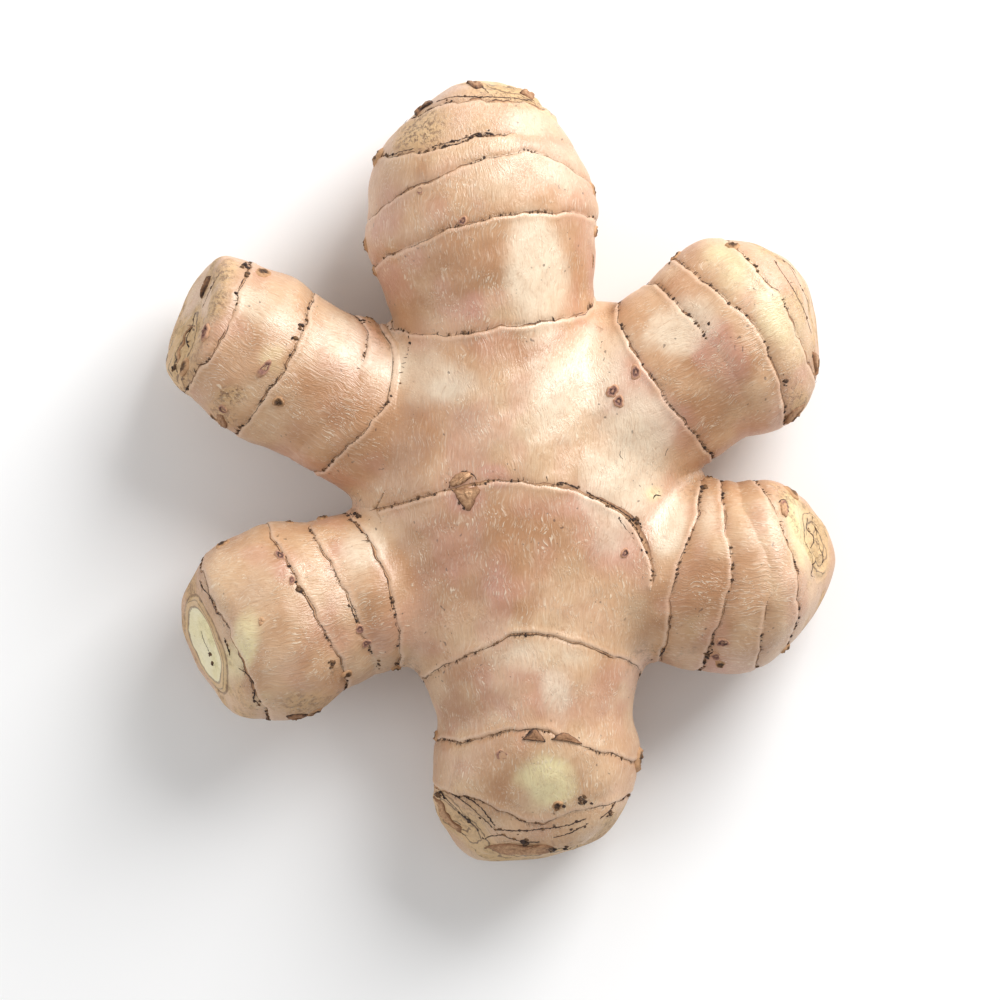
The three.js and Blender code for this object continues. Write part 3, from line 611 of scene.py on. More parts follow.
NOTES = {"relief": 0.0, "after": FAR, "before": FAR, "end": -FAR, "finger": -1.0, "start": 0.0}


class Skin:
    def __init__(self):
        self.points = np.empty((0, 3))
        self.notes = {name: np.empty(0) for name in NOTES}
        self.faces = []

    def add(self, points, **known):
        first = len(self.points)
        self.points = np.vstack([self.points, points])
        for name, usual in NOTES.items():
            value = np.broadcast_to(known.get(name, usual), len(points))
            self.notes[name] = np.concatenate([self.notes[name], value])
        return list(range(first, first + len(points)))

    def join(self, row_a, row_b, flip=False, shares=None):
        """Faces between two rows of corners, matched by their shares of the way along."""
        i = j = 0
        last_a, last_b = len(row_a) - 1, len(row_b) - 1
        share_a, share_b = shares or (np.linspace(0, 1, last_a + 1), np.linspace(0, 1, last_b + 1))
        while i < last_a or j < last_b:
            step_a = j == last_b or (i < last_a and share_a[i + 1] <= share_b[j + 1])
            beyond = row_a[i + 1] if step_a else row_b[j + 1]
            face = (row_a[i], beyond, row_b[j]) if flip else (row_a[i], row_b[j], beyond)
            if len(set(face)) == 3:
                self.faces.append(face)
            i, j = (i + 1, j) if step_a else (i, j + 1)

    def join_loops(self, loop_a, loop_b):
        if len(loop_a) == len(loop_b):
            around = zip(loop_a, loop_b, loop_b[1:] + loop_b[:1], loop_a[1:] + loop_a[:1])
            self.faces.extend(around)
        else:
            self.join(loop_a + loop_a[:1], loop_b + loop_b[:1])


skin = Skin()


def notch(index):
    """Corners down a notch, from its upper end to its lower one."""
    out = unit(FINGERS[index][0].forward + FINGERS[(index + 1) % len(FINGERS)][0].forward)
    levels = np.arange(NOTCH, -NOTCH - 1, -1) / NOTCH * AXIL_RISE + STEM.stations[6][4]
    inner = np.column_stack([np.tile(AXILS[index], (len(levels), 1)), levels]) - 7 * out
    return skin.add(cast_out(inner, out), before=BORDER, finger=-1)


def border_arc(finger, first, last, count, turn):
    """One side of a finger's border with the hub, between two notches."""
    limb, rings = finger
    (s_a, s_b), (angle_a, angle_b) = limb.place(skin.points[[first, last]])
    angle_b += turn
    gap_a = s_a - (rings[0].plain(angle_a) - BORDER)
    gap_b = s_b - (rings[0].plain(angle_b) - BORDER)
    t = np.arange(1, count) / count
    angle = mix(angle_a, angle_b, t)
    ring = rings[0].plain(angle)
    s = ring - BORDER + gap_a * (1 - smooth(t * 1.4)) + gap_b * (1 - smooth((1 - t) * 1.4))
    return skin.add(cast_out(limb.centre(s), limb.spoke(angle)), before=np.clip(ring - s, BORDER, FAR))


def stretch_rows(gap, first_stretch):
    """Places of the rows in one stretch, for every column, as distances from its start."""
    room = np.minimum(1, 0.4 * gap / BEFORE_RING[0])
    lead = [0 * gap] if first_stretch else [near * room for near in AFTER_RING]
    tail = [gap - near * room for near in BEFORE_RING] + [gap]
    count = max(int(math.ceil((tail[0] - lead[-1]).max() / ROW)), 1)
    between = [mix(lead[-1], tail[0], k / count) for k in range(1, count)]
    return (lead[1:] if first_stretch else lead) + between + tail


def ring_places(rings, start, angle):
    """Where the rings are along the finger, at the angle of each column, behind where it starts."""
    places = [start]
    for ring in rings:
        places.append(np.maximum(ring.at(angle), places[-1] + LEAST_STRETCH))
    return places


def build_finger(index, border, angles):
    limb, rings = FINGERS[index]
    start, _ = limb.place(skin.points[border])
    even = np.arange(len(border)) / len(border) * 2 * math.pi + angles[0]
    planned = ring_places(rings, start, even)
    previous = border
    for k, ring in enumerate(rings):
        ring_before = rings[k - 1] if k else None
        gap = planned[k + 1] - planned[k]
        for reach in stretch_rows(gap, ring_before is None):
            ease = smooth((planned[k] + reach - start).mean() / 9)
            turned = mix(angles, even, ease)
            first, second = ring_places(rings, start, turned)[k:k + 2]
            s = mix(first, second, reach / gap)
            before = second - s
            relief = ring_relief(-before) * ring.strength(turned) * vigour(ring, turned)
            after = np.full(len(s), FAR)
            if ring_before is not None:
                after = s - first + 4 * (1 - ring_before.strength(turned))
                relief += ring_relief(s - first) * ring_before.strength(turned) * vigour(ring_before, turned)
                relief += BELLY * np.sin(math.pi * reach / gap)
            points = cast_out(limb.centre(s), limb.spoke(turned))
            before = before + 4 * (1 - ring.strength(turned))
            last = ring is rings[-1]
            loop = skin.add(
                points,
                relief=relief,
                after=np.minimum(after, FAR),
                before=np.minimum(before, FAR),
                end=-np.minimum(before, FAR) if last else -FAR,
                finger=index,
                start=np.minimum((s - start), FAR),
            )
            skin.join_loops(previous, loop)
            previous = loop
    close_tip(index, limb, rings[-1], previous)


def vigour(ring, angle):
    """How strongly a ring stands out round the finger."""
    return 1 + 0.35 * np.sin(3 * angle + ring.phase) + 0.25 * np.sin(11 * angle + 2 * ring.phase)


def close_tip(index, limb, ring, rim):
    core = limb.centre(np.array([ring.places.min() - 3]))
    starts = unit(skin.points[rim] - core)
    previous = rim
    for k in range(1, CAP_ROWS):
        t = k / CAP_ROWS
        count = max(int(round(len(rim) * min(1, 1.15 * (1 - t**1.6)))), 8)
        places = np.arange(count) / count * len(rim)
        i = np.floor(places).astype(int)
        part = (places - i)[:, None]
        spread = mix(starts[i], starts[(i + 1) % len(rim)], part)
        direction = unit(mix(spread, limb.forward, t))
        points = cast_out(np.repeat(core, count, axis=0), direction)
        s, angle = limb.place(points)
        beyond = np.clip(s - ring.at(angle), 0, FAR)
        rim_points = mix(skin.points[rim][i], skin.points[rim][(i + 1) % len(rim)], part)
        edge = np.linalg.norm(points - rim_points, axis=1)
        beyond = np.minimum(np.maximum(beyond, 0.25 * edge), edge)
        loop = skin.add(
            points, relief=ring_relief(beyond) * 0.9, after=beyond, end=beyond, finger=index, start=FAR
        )
        skin.join_loops(previous, loop)
        previous = loop
    end = skin.add(cast_out(core, limb.forward), after=FAR, end=FAR, finger=index, start=FAR)
    skin.faces.extend((a, end[0], b) for a, b in zip(previous, previous[1:] + previous[:1]))


def reaches(points):
    """How far along a polyline each of its corners is."""
    return np.concatenate([[0], np.cumsum(np.linalg.norm(np.diff(points, axis=0), axis=1))])


def reach_shares(points):
    reach = reaches(points)
    return reach / reach[-1]


def polyline_at(points, t):
    return np.column_stack([np.interp(t, reach_shares(points), points[:, k]) for k in range(2)])


def line_distance(flat, line):
    """Distance from each point to a polyline, both flat."""
    a, b = line[:-1], line[1:]
    span = b - a
    out = np.full(len(flat), np.inf)
    for start, step in zip(a, span):
        t = np.clip((flat - start) @ step / max(step @ step, 1e-9), 0, 1)
        out = np.minimum(out, np.linalg.norm(flat - start - t[:, None] * step, axis=1))
    return out


def middle_line(first, last, guide, side):
    """The ring that runs across the hub, on its upper or lower side."""
    points = np.array([skin.points[first, :2], *guide, skin.points[last, :2]])
    dense = []
    for i in range(len(points) - 1):
        a = points[max(i - 1, 0)]
        b, c = points[i], points[i + 1]
        d = points[min(i + 2, len(points) - 1)]
        for k in range(GUIDE_STEPS):
            dense.append(between_four(a, b, c, d, k / GUIDE_STEPS))
    dense.append(points[-1])
    t = np.arange(1, MIDDLE_COLUMNS) / MIDDLE_COLUMNS
    flat = polyline_at(np.array(dense), t)
    waver = 0.14 * np.sin(31 * t + 1) + 0.1 * np.sin(83 * t) + 0.07 * np.sin(190 * t)
    flat[:, 1] += waver * np.sin(math.pi * t)
    inner = skin.add(cast_vertical(flat, side), relief=ring_relief(0.0), after=0, before=0)
    return [first, *inner, last]


def hub_patch(line, border, side, beyond, flip):
    """Skin between the middle ring and the fingers' borders, which share their two end corners."""
    line_flat = skin.points[line, :2]
    border_flat = skin.points[border, :2]
    near_rows = AFTER_RING if beyond else BEFORE_RING[::-1]
    t = np.linspace(0, 1, len(border))
    near_t = t + CORNER_PACE * np.sin(2 * math.pi * t) / (2 * math.pi)
    near, far = polyline_at(line_flat, near_t), polyline_at(border_flat, t)
    length = np.maximum(np.linalg.norm(far - near, axis=1), 1e-6)
    rows = []
    for k in range(HUB_ROWS + 1):
        start_row = min(k, len(near_rows))
        inner = np.minimum(near_rows[start_row - 1] / length, start_row / HUB_ROWS) if k else 0 * length
        if k > len(near_rows):
            inner = mix(inner, 1.0, (k - len(near_rows)) / (HUB_ROWS - len(near_rows)))
        rows.append(mix(near, far, inner[:, None]))
    rows = np.array(rows)
    free = slice(len(near_rows) + 1, HUB_ROWS)
    for _ in range(HUB_SMOOTHINGS):
        beside = rows[:-2, 1:-1] + rows[2:, 1:-1] + rows[1:-1, :-2] + rows[1:-1, 2:]
        rows[free, 1:-1] = (beside / 4)[len(near_rows):]
    previous, share = line, reach_shares(line_flat)
    for k in range(1, HUB_ROWS):
        count = int(round(mix(len(line), len(border), k / HUB_ROWS)))
        places = np.arange(1, count - 1) / (count - 1) * (len(border) - 1)
        flat = along(np.column_stack([np.arange(len(border)), rows[k]]), places)
        gap = line_distance(flat, line_flat)
        room = BORDER + line_distance(flat, border_flat)
        relief = ring_relief(gap if beyond else -gap)
        if beyond:
            known = {"after": np.minimum(gap, FAR), "before": np.minimum(room, FAR)}
        else:
            known = {"before": np.minimum(np.minimum(gap, room), FAR)}
        inner_row = skin.add(cast_vertical(flat, side), relief=relief, **known)
        row = [line[0], *inner_row, line[-1]]
        row_share = reach_shares(skin.points[row, :2])
        skin.join(previous, row, flip, (share, row_share))
        previous, share = row, row_share
    skin.join(previous, border, flip, (share, reach_shares(border_flat)))


def build_skin():
    """Six notches, the fingers' borders, the fingers, and the hub's two faces."""
    notches = [notch(i) for i in range(len(AXILS))]
    arcs = []
    for i, finger in enumerate(FINGERS):
        left, right = notches[i - 1], notches[i]
        upper = border_arc(finger, right[0], left[0], FRONT, 0)
        lower = border_arc(finger, left[-1], right[-1], BACK, 2 * math.pi)
        arcs.append((upper, lower))
        border = [right[0], *upper, *left, *lower, *right[:0:-1]]
        _, angles = finger[0].place(skin.points[border])
        build_finger(i, border, np.unwrap(angles))

    upper = [arc[0] for arc in arcs]
    lower = [arc[1] for arc in arcs]
    top = [corners[0] for corners in notches]
    low = [corners[-1] for corners in notches]
    meeting = int(round(MIDDLE_RING_END * (FRONT - 1)))
    lower_right = upper[3][::-1]

    line = middle_line(top[5], lower_right[meeting], MIDDLE_RING, 1)
    above = [top[5], *upper[0][::-1], top[0], *upper[1][::-1], top[1], *upper[2][::-1], top[2]]
    below = [top[5], *upper[5], top[4], *upper[4], top[3]]
    hub_patch(line, above + lower_right[:meeting + 1], 1, True, True)
    hub_patch(line, below + lower_right[:meeting - 1:-1], 1, False, False)

    under = middle_line(low[5], low[2], MIDDLE_RING_BELOW, -1)
    upper_edge = [low[5], *lower[0], low[0], *lower[1], low[1], *lower[2], low[2]]
    lower_edge = [low[2], *lower[3], low[3], *lower[4], low[4], *lower[5], low[5]]
    hub_patch(under, upper_edge, -1, True, False)
    hub_patch(under, lower_edge[::-1], -1, False, True)
    return line


middle = build_skin()


# Patches of colour, of painted highlight and of painted shade, as seen from above: (x, y, half length, half
# width, turn, strength)

UPPER_FROM = 11  # height at which they start to show
UPPER_FADE = 5  # and over how much more height they come up in full
FLESH = (
    (6.9, -48.6, 3.9, 4.0, 0, 1.0), (-40.2, -27.8, 5.2, 2.2, 70, 0.9), (39.6, 27.0, 11, 4.0, -52, 0.5),
    (46.0, -9.8, 5.4, 1.5, 102, 0.9), (-34.6, 16.8, 2.4, 2.2, 60, 0.55), (23.6, -4.0, 1.4, 1.2, 0, 0.8),
    (30, -24.5, 2.6, 1.6, 20, 0.35), (-36, -36, 3.2, 1.6, 0, 0.35),
)
BLUSH = (
    (20.6, 14.2, 4.6, 2.6, -50, 0.9), (18.4, 11.0, 3.2, 2.6, 0, 0.7), (26.0, 7.6, 7.5, 3.2, -48, 0.6),
    (-0.8, -1.2, 2.6, 1.6, -20, 0.9), (-5.2, -4.8, 2.8, 2.4, 0, 0.8), (-2.6, -16.8, 4.6, 4.2, 0, 0.55),
    (16.5, -10.2, 7.5, 4.6, -55, 0.75), (-15.8, 29.6, 5.0, 3.4, 70, 0.6),
    (-3.4, 25.0, 5.2, 2.2, 10, 0.6), (33.6, 18.0, 3.4, 6.0, 25, 0.85),
    (29.6, 25.4, 5.0, 3.0, -40, 0.35), (-25.0, -17.2, 6.0, 3.0, 80, 0.5),
    (-31.4, -15.4, 3.4, 3.0, 0, 0.4), (3.0, -34.0, 9.0, 4.6, 0, 0.55),
    (-20.0, 18.6, 4.4, 2.6, -40, 0.5), (-18.0, 37.4, 7.0, 3.2, 70, 0.5),
    (33.6, -30.0, 5.0, 2.4, 20, 0.5), (14.0, -22.0, 5.0, 4.0, 0, 0.35),
    (8.0, 51.0, 4.0, 3.0, -30, 0.35), (-9.0, 8.4, 2.8, 2.2, 0, 0.3),
)
# Darker brown skin in places, and painted shade where the skin turns away from the key light
BROWN_AND_SHADE = (
    (-5.6, 31.6, 6.6, 6.0, 90, 1.0), (-13.6, 28.0, 4.0, 5.0, 0, 0.6), (12.8, 30.4, 8.0, 2.6, 95, 0.7),
    (3.2, 19.2, 8.0, 2.6, 8, 0.8), (-15.6, 5.0, 9.0, 5.4, 20, 0.8), (-2.0, -13.0, 11.0, 9.0, 0, 1.0),
    (9.0, -15.0, 8.0, 7.0, 0, 0.5), (-25.6, 11.6, 8.0, 4.2, -28, 0.9), (-30.5, 8.4, 5.0, 3.0, -28, 0.5),
    (31.0, 10.8, 9.0, 5.2, 28, 0.85), (41.0, 12.6, 4.0, 3.0, 28, 0.5),
    (-28.0, -27.2, 6.0, 4.6, 70, 0.6), (-18.6, -23.6, 4.0, 5.2, 0, 0.7),
    (-40.6, -26.0, 4.0, 2.2, 70, 0.5), (32.0, -20.6, 9.0, 5.4, 90, 0.8),
    (40.0, -24.0, 6.0, 4.6, 70, 0.5), (25.0, -21.0, 6.0, 2.6, 80, 0.6),
    (-4.8, -34.6, 6.0, 3.4, 80, 0.8), (16.6, -34.2, 6.0, 3.0, 100, 0.35),
    (-2.6, -51.4, 6.0, 4.0, 30, 0.4), (14.6, 40.6, 6.0, 2.6, 110, 0.5),
    (-11.0, 47.0, 5.0, 3.0, 50, 0.3),
)
# Painted highlights: cream patches where the key light's sheen lies on the upper side
PAINTED_HIGHLIGHTS = (
    (5.6, 30.2, 9.5, 4.2, 92, 1.0), (5.0, 45.0, 8.5, 4.2, 5, 0.55), (5.4, 53.4, 6.0, 2.0, 0, 0.4),
    (19.8, 0.0, 11.0, 5.6, 75, 1.0), (11.0, 12.6, 10.0, 5.6, 40, 0.9),
    (-12.0, 14.2, 8.0, 3.8, -18, 0.8), (-24.0, 19.6, 7.0, 3.0, -32, 0.55),
    (-36.0, 24.2, 5.6, 2.6, -26, 0.45), (28.0, 22.0, 6.0, 3.6, 35, 0.9),
    (40.4, 24.6, 8.0, 3.4, -52, 0.35), (-38.0, -18.4, 5.0, 3.6, 75, 0.25),
    (-21.2, -12.6, 4.6, 2.8, 70, 0.8), (26.2, -8.6, 5.0, 2.4, 80, 1.0), (31.4, -8.0, 4.6, 1.8, 92, 0.5),
    (39.6, -7.8, 5.0, 3.0, 85, 0.3), (6.2, -29.0, 7.0, 2.4, 0, 0.6), (8.6, -33.8, 5.0, 2.4, 95, 0.6),
)
# Painted shade in the notches between fingers, and stains near the tips and on the hub
STAIN_AND_SHADE = (
    (-17.4, 20.4, 3.6, 2.6, -30, 0.7), (18.2, 24.2, 3.6, 2.4, 20, 0.5), (28.0, -2.6, 3.4, 2.8, 0, 0.6),
    (22.6, -29.6, 4.6, 2.2, 40, 0.7), (-15.6, -31.4, 4.6, 2.4, -20, 0.8),
    (-22.6, -6.4, 4.0, 2.6, 0, 0.6), (-12.4, 52.2, 3.8, 1.6, 40, 0.8), (-4.2, 52.6, 6.0, 0.8, 10, 0.6),
    (-7.6, -1.6, 1.8, 1.3, 20, 0.9), (28.8, -28.6, 3.0, 0.9, 25, 0.7), (-26.4, -30.6, 1.5, 1.3, 0, 0.9),
    (-5.6, -53.4, 4.6, 1.0, -58, 0.8), (-42.0, 10.6, 2.0, 2.0, 0, 0.5),
)
CORK = (
    (46.2, 9.0, 5.0, 2.4, 110, 0.8), (-30.4, -36.2, 5.0, 2.2, 0, 0.8), (-12.0, 52.2, 5.0, 3.0, 35, 0.8),
    (49.6, -12.0, 6.0, 2.0, 95, 0.8), (-49.0, 17.0, 7.0, 3.2, 75, 1.0), (-42.4, 9.4, 4.0, 2.6, 20, 0.7),
    (-6.2, -54.0, 7.0, 3.4, -58, 0.7), (4.6, -58.6, 9.0, 2.0, 0, 0.8), (3.8, 57.8, 8.0, 2.2, 0, 0.9),
    (-45.6, -27.3, 8.0, 3.6, 70, 0.4),
)

# Cut or died-back ends: (x, y, z), bearing, tilt, radius across, radius up, and 1 if freshly cut

DISCS = (
    ((-45.8, -27.4, 16.8), 199, 25, 6.3, 5.2, 1), ((-6.7, -54.6, 16.8), 228, 22, 6.4, 5.2, 0),
    ((-48.8, 18.0, 17.0), 159, 16, 7.2, 6.4, 0), ((48.8, -11.6, 17.0), 16, 18, 5.4, 5.6, 0),
    ((3.6, 59.0, 16.0), 86, 4, 8.0, 7.0, 0), ((4.4, -59.6, 13.6), 271, 6, 8.0, 6.2, 0),
)
DISC_RIM = 1.3  # how far out the second rim lies, in radii


def paint(points, spots):
    """How much of a patch each point gets, whether of colour, painted highlight or painted shade. Patches
    lie on the upper side.
    """
    amount = np.zeros(len(points))
    upper = smooth((points[:, 2] - UPPER_FROM) / UPPER_FADE)
    for x, y, half_length, half_width, turn, strength in spots:
        c, s = math.cos(math.radians(turn)), math.sin(math.radians(turn))
        dx, dy = points[:, 0] - x, points[:, 1] - y
        ratio = np.hypot((dx * c + dy * s) / half_length, (dy * c - dx * s) / half_width)
        amount = np.maximum(amount, strength * smooth((1.7 - ratio) / 1.3) * upper)
    return amount


def disc_places(points):
    """For each point, its distance from the middle of the nearest cut end in radii, and whether
    that end is freshly cut."""
    nearest = np.full(len(points), 3.0)
    fresh = np.zeros(len(points))
    for centre, bearing, tilt, across, up, cut in DISCS:
        out, side = facing(bearing, tilt), np.cross([0, 0, 1], facing(bearing, 0))
        rise = np.cross(out, side)
        q = points - np.array(centre)
        wobble = 1 + (0.3 - 0.22 * cut) * (lattice(points / 3.4, 31) - 0.5)
        ratio = np.hypot(q @ side / across, q @ rise / up) * wobble + np.abs(q @ out) / 14
        fresh = np.where(ratio < nearest, cut, fresh)
        nearest = np.minimum(nearest, ratio)
    return nearest, fresh


def end_relief(points):
    """Height of the skin at the cut ends: a sunken face, a rim, and rings of cork."""
    disc, fresh = disc_places(points)
    face = -0.22 * smooth((0.98 - disc) / 0.12)
    rims = 0.2 * np.exp(-(((disc - 1.14) / 0.1) ** 2)) - 0.2 * np.exp(-(((disc - DISC_RIM) / 0.05) ** 2))
    cork = 0.2 * np.sin(15 * disc + 2.5 * lattice(points / 2.2, 33)) * smooth((1.25 - disc) / 0.3)
    return mix(cork, face + rims, fresh)


def mesh_object(name, points, faces, material, smooth_faces=True):
    mesh = bpy.data.meshes.new(name)
    mesh.from_pydata((np.asarray(points) * MM).tolist(), [], faces)
    mesh.polygons.foreach_set("use_smooth", [smooth_faces] * len(mesh.polygons))
    mesh.materials.append(material)
    mesh.update()
    piece = bpy.data.objects.new(name, mesh)
    bpy.context.scene.collection.objects.link(piece)
    return piece


def store(piece, name, values):
    """Keeps one value or vector for every corner of a piece, for its material."""
    values = np.asarray(values, dtype=np.float32)
    kind = "FLOAT" if values.ndim == 1 else "FLOAT_VECTOR"
    layer = piece.data.attributes.new(name, kind, "POINT")
    layer.data.foreach_set("value" if values.ndim == 1 else "vector", values.ravel())


# Materials

def colour(red, green, blue):
    """A colour as seen on screen, from 0 to 255, in the linear values that a shader takes."""
    channels = [c / 255 for c in (red, green, blue)]
    return (*(c / 12.92 if c <= 0.04045 else ((c + 0.055) / 1.055) ** 2.4 for c in channels), 1.0)


TAN = colour(199, 154, 115)
PALE_TAN = colour(214, 177, 139)
BROWN_TONE = colour(174, 122, 80)
# Cream for painted highlights and painted glints
HIGHLIGHT_CREAM = colour(240, 221, 194)
PINK = colour(206, 146, 130)
YELLOW_FLESH = colour(240, 226, 174)
CUT_FLESH = colour(244, 232, 192)
STRAW = colour(216, 180, 126)
DRY_BROWN = colour(122, 88, 56)
DARK = colour(58, 40, 32)
PALE_RIM = colour(232, 194, 164)
MAUVE = colour(150, 106, 92)


class Graph:
    """Builds one material's nodes."""

    def __init__(self, name):
        self.material = bpy.data.materials.new(name)
        self.material.use_nodes = True
        self.tree = self.material.node_tree
        self.shader = self.tree.nodes["Principled BSDF"]

    def put(self, socket, value):
        if isinstance(value, bpy.types.NodeSocket):
            self.tree.links.new(value, socket)
        else:
            socket.default_value = value

    def node(self, kind, values=(), **settings):
        node = self.tree.nodes.new(kind)
        for key, value in settings.items():
            setattr(node, key, value)
        for key, value in dict(values).items():
            self.put(node.inputs[key], value)
        return node

    def attribute(self, name, output="Vector"):
        return self.node("ShaderNodeAttribute", attribute_name=name).outputs[output]

    def parts(self, vector):
        return self.node("ShaderNodeSeparateXYZ", {0: vector}).outputs

    def math(self, operation, a, b=0.0):
        return self.node("ShaderNodeMath", {0: a, 1: b}, operation=operation).outputs[0]

    def plus(self, a, b):
        return self.math("ADD", a, b)

    def minus(self, a, b):
        return self.math("SUBTRACT", a, b)

    def times(self, a, b):
        return self.math("MULTIPLY", a, b)

    def vector(self, operation, a, b):
        return self.node("ShaderNodeVectorMath", {0: a, 1: b}, operation=operation).outputs[0]

    def noise(self, vector, size, detail=2.0, roughness=0.5, output=0):
        """Noise whose features are about size millimetres across."""
        values = {"Vector": vector, "Scale": 1 / size, "Detail": detail, "Roughness": roughness}
        return self.node("ShaderNodeTexNoise", values).outputs[output]

    def between(self, value, low, high):
        """0 at low and before it, 1 at high and beyond it. Low may be the greater one."""
        values = {"Value": value, "From Min": low, "From Max": high}
        return self.node("ShaderNodeMapRange", values, interpolation_type="SMOOTHSTEP").outputs[0]

    def scaled(self, value, low, high):
        """Takes a value from 0 to 1 to the range from low to high."""
        return self.node("ShaderNodeMapRange", {"Value": value, "To Min": low, "To Max": high}).outputs[0]

    def blend(self, factor, a, b):
        return self.node("ShaderNodeMix", {0: factor, 6: a, 7: b}, data_type="RGBA").outputs[2]

    def fade(self, factor, a, b):
        return self.node("ShaderNodeMix", {0: factor, 2: a, 3: b}, data_type="FLOAT").outputs[0]


def skin_material():
    g = Graph("ginger_skin")
    stem = g.attribute("stem_grain")
    own = g.attribute("finger_grain")
    side = g.attribute("side_finger", "Fac")
    slow, patchy, rosy = g.parts(g.attribute("drift"))
    after, before, end = g.parts(g.attribute("rings"))
    flesh, cork, blush = g.parts(g.attribute("patches"))
    brown_and_shade, painted_highlight, stain_and_shade = g.parts(g.attribute("tones_and_painted_light"))
    disc, fresh, _ = g.parts(g.attribute("ends"))

    wave = g.vector("SUBTRACT", g.noise(stem, 4.5, 1.0, output=1), (0.5, 0.5, 0.5))

    def fibres(length, width, detail, bend, seed):
        """Noise drawn out along the stem, and along each side finger on it."""
        shift = (seed * 13.7, seed * 5.1, seed * 3.3)
        bends = g.vector("ADD", g.vector("MULTIPLY", wave, (0.0, bend, bend)), shift)
        shape = (1 / length, 1 / width, 1 / width)
        sampled = []
        for grain in (stem, own):
            stretched = g.vector("MULTIPLY", g.vector("ADD", grain, bends), shape)
            sampled.append(g.noise(stretched, 1.0, detail, 0.55))
        return g.fade(side, *sampled)

    mottle = g.noise(stem, 1.5, 3.0, 0.6)
    grit = g.noise(stem, 0.28, 1.0, 0.6)
    streak = fibres(2.4, 0.3, 3.0, 2.6, 0)
    hair = fibres(1.5, 0.13, 1.0, 2.2, 1)
    glint = fibres(1.3, 0.17, 0.0, 3.4, 2)
    loose = g.minus(patchy, 0.5)

    def edged(mask, low=0.02, high=1.0):
        """A painted patch with an uneven edge."""
        uneven = g.plus(mask, g.times(loose, g.between(mask, 0.0, 0.4)))
        return g.between(uneven, low, high)

    tint = g.blend(g.between(slow, 0.3, 0.7), TAN, PALE_TAN)

    def cover(amount, share, over):
        """Lays a colour over the skin's, as far as amount times share lets it show."""
        nonlocal tint
        tint = g.blend(g.times(amount, share), tint, over)

    cover(g.between(patchy, 0.45, 0.8), 0.4, BROWN_TONE)
    # Brown patches: darker skin in places, and painted shade away from the light
    cover(edged(brown_and_shade), 0.85, BROWN_TONE)
    cover(g.between(rosy, 0.5, 0.78), 0.32, PINK)
    cover(edged(blush), 0.6, PINK)
    # Painted highlight: cream where the sheen of the key light falls
    cover(edged(painted_highlight), 0.72, HIGHLIGHT_CREAM)
    cover(edged(flesh, 0.0, 1.05), 0.85, YELLOW_FLESH)

    # Fibres: pale streaks that are partly grain and partly painted highlight, sparse painted glints, and
    # fine dark hairs
    cover(g.between(streak, 0.52, 0.72), 0.32, HIGHLIGHT_CREAM)
    cover(g.between(streak, 0.46, 0.28), 0.34, BROWN_TONE)
    shown = g.between(g.noise(stem, 5.0, 1.0), 0.42, 0.6)
    painted_glint = g.times(g.between(glint, 0.64, 0.72), shown)
    cover(painted_glint, 0.65, HIGHLIGHT_CREAM)
    sparse = g.between(g.noise(stem, 3.6, 1.0), 0.52, 0.68)
    dark_hair = g.times(g.between(hair, 0.66, 0.76), sparse)
    cover(dark_hair, 0.4, DRY_BROWN)
    cover(g.between(mottle, 0.4, 0.7), 0.18, BROWN_TONE)

    # Corky skin at the tips
    tip = g.between(end, 0.6, 3.0)
    corky = g.math("MAXIMUM", edged(cork), g.times(tip, g.between(patchy, 0.4, 0.62)))
    flakes = g.between(g.noise(stem, 0.8, 3.0, 0.7), 0.46, 0.66)
    crust = g.blend(flakes, STRAW, DRY_BROWN)
    cover(corky, 0.5, crust)

    # A cut face with two rims, or rings of cork round a dead end
    jagged = g.plus(disc, g.times(g.minus(mottle, 0.5), 0.1))
    old_cork = g.times(g.between(jagged, 1.3, 0.9), g.minus(1.0, fresh))
    cover(old_cork, 0.55, STRAW)
    wave_noise = g.times(g.minus(g.noise(stem, 2.6, 3.0), 0.5), 9.0)
    rings_of_cork = g.math("SINE", g.plus(g.times(disc, 22.0), wave_noise))
    cork_line = g.times(g.between(rings_of_cork, 0.75, 1.0), old_cork)
    cover(cork_line, 0.85, g.blend(flakes, DRY_BROWN, DARK))
    band = g.times(g.between(jagged, DISC_RIM + 0.03, DISC_RIM - 0.03), fresh)
    cover(band, 0.7, STRAW)
    cut_face = g.times(g.between(jagged, 1.03, 0.97), fresh)
    tint = g.blend(cut_face, tint, g.blend(g.between(patchy, 0.3, 0.7), CUT_FLESH, YELLOW_FLESH))
    for rim, width in ((1.0, 0.045), (DISC_RIM, 0.055), (1.17, 0.02)):
        away = g.math("ABSOLUTE", g.minus(jagged, rim))
        edge_line = g.times(g.between(away, width, width * 0.4), fresh)
        cover(edge_line, g.scaled(mottle, 0.3, 1.1), DRY_BROWN)

    # Rings: a pale rim, a broken dark line, and a few fibres beyond it
    pinkish = g.times(g.between(before, 1.0, 0.3), g.between(before, 0.0, 0.2))
    cover(pinkish, 0.4, PALE_RIM)
    shade = g.between(after, 2.6, 0.1)
    cover(shade, 0.25, BROWN_TONE)
    near = g.math("MINIMUM", after, before)
    ragged = g.plus(near, g.times(g.minus(grit, 0.5), 0.4))
    gaps = g.noise(stem, 2.8, 2.0)
    broken = g.scaled(g.between(gaps, 0.4, 0.56), 0.22, 1.0)
    line = g.times(g.between(ragged, 0.18, 0.03), broken)
    tuft_reach = g.scaled(g.noise(stem, 1.4, 1.0), -0.9, 1.7)
    tuft = g.times(g.between(g.minus(after, tuft_reach), 0.1, -0.3), g.between(hair, 0.5, 0.6))
    cover(tuft, 0.5, DRY_BROWN)
    ink = g.blend(g.between(gaps, 0.42, 0.62), DRY_BROWN, DARK)
    cover(line, 0.85, ink)

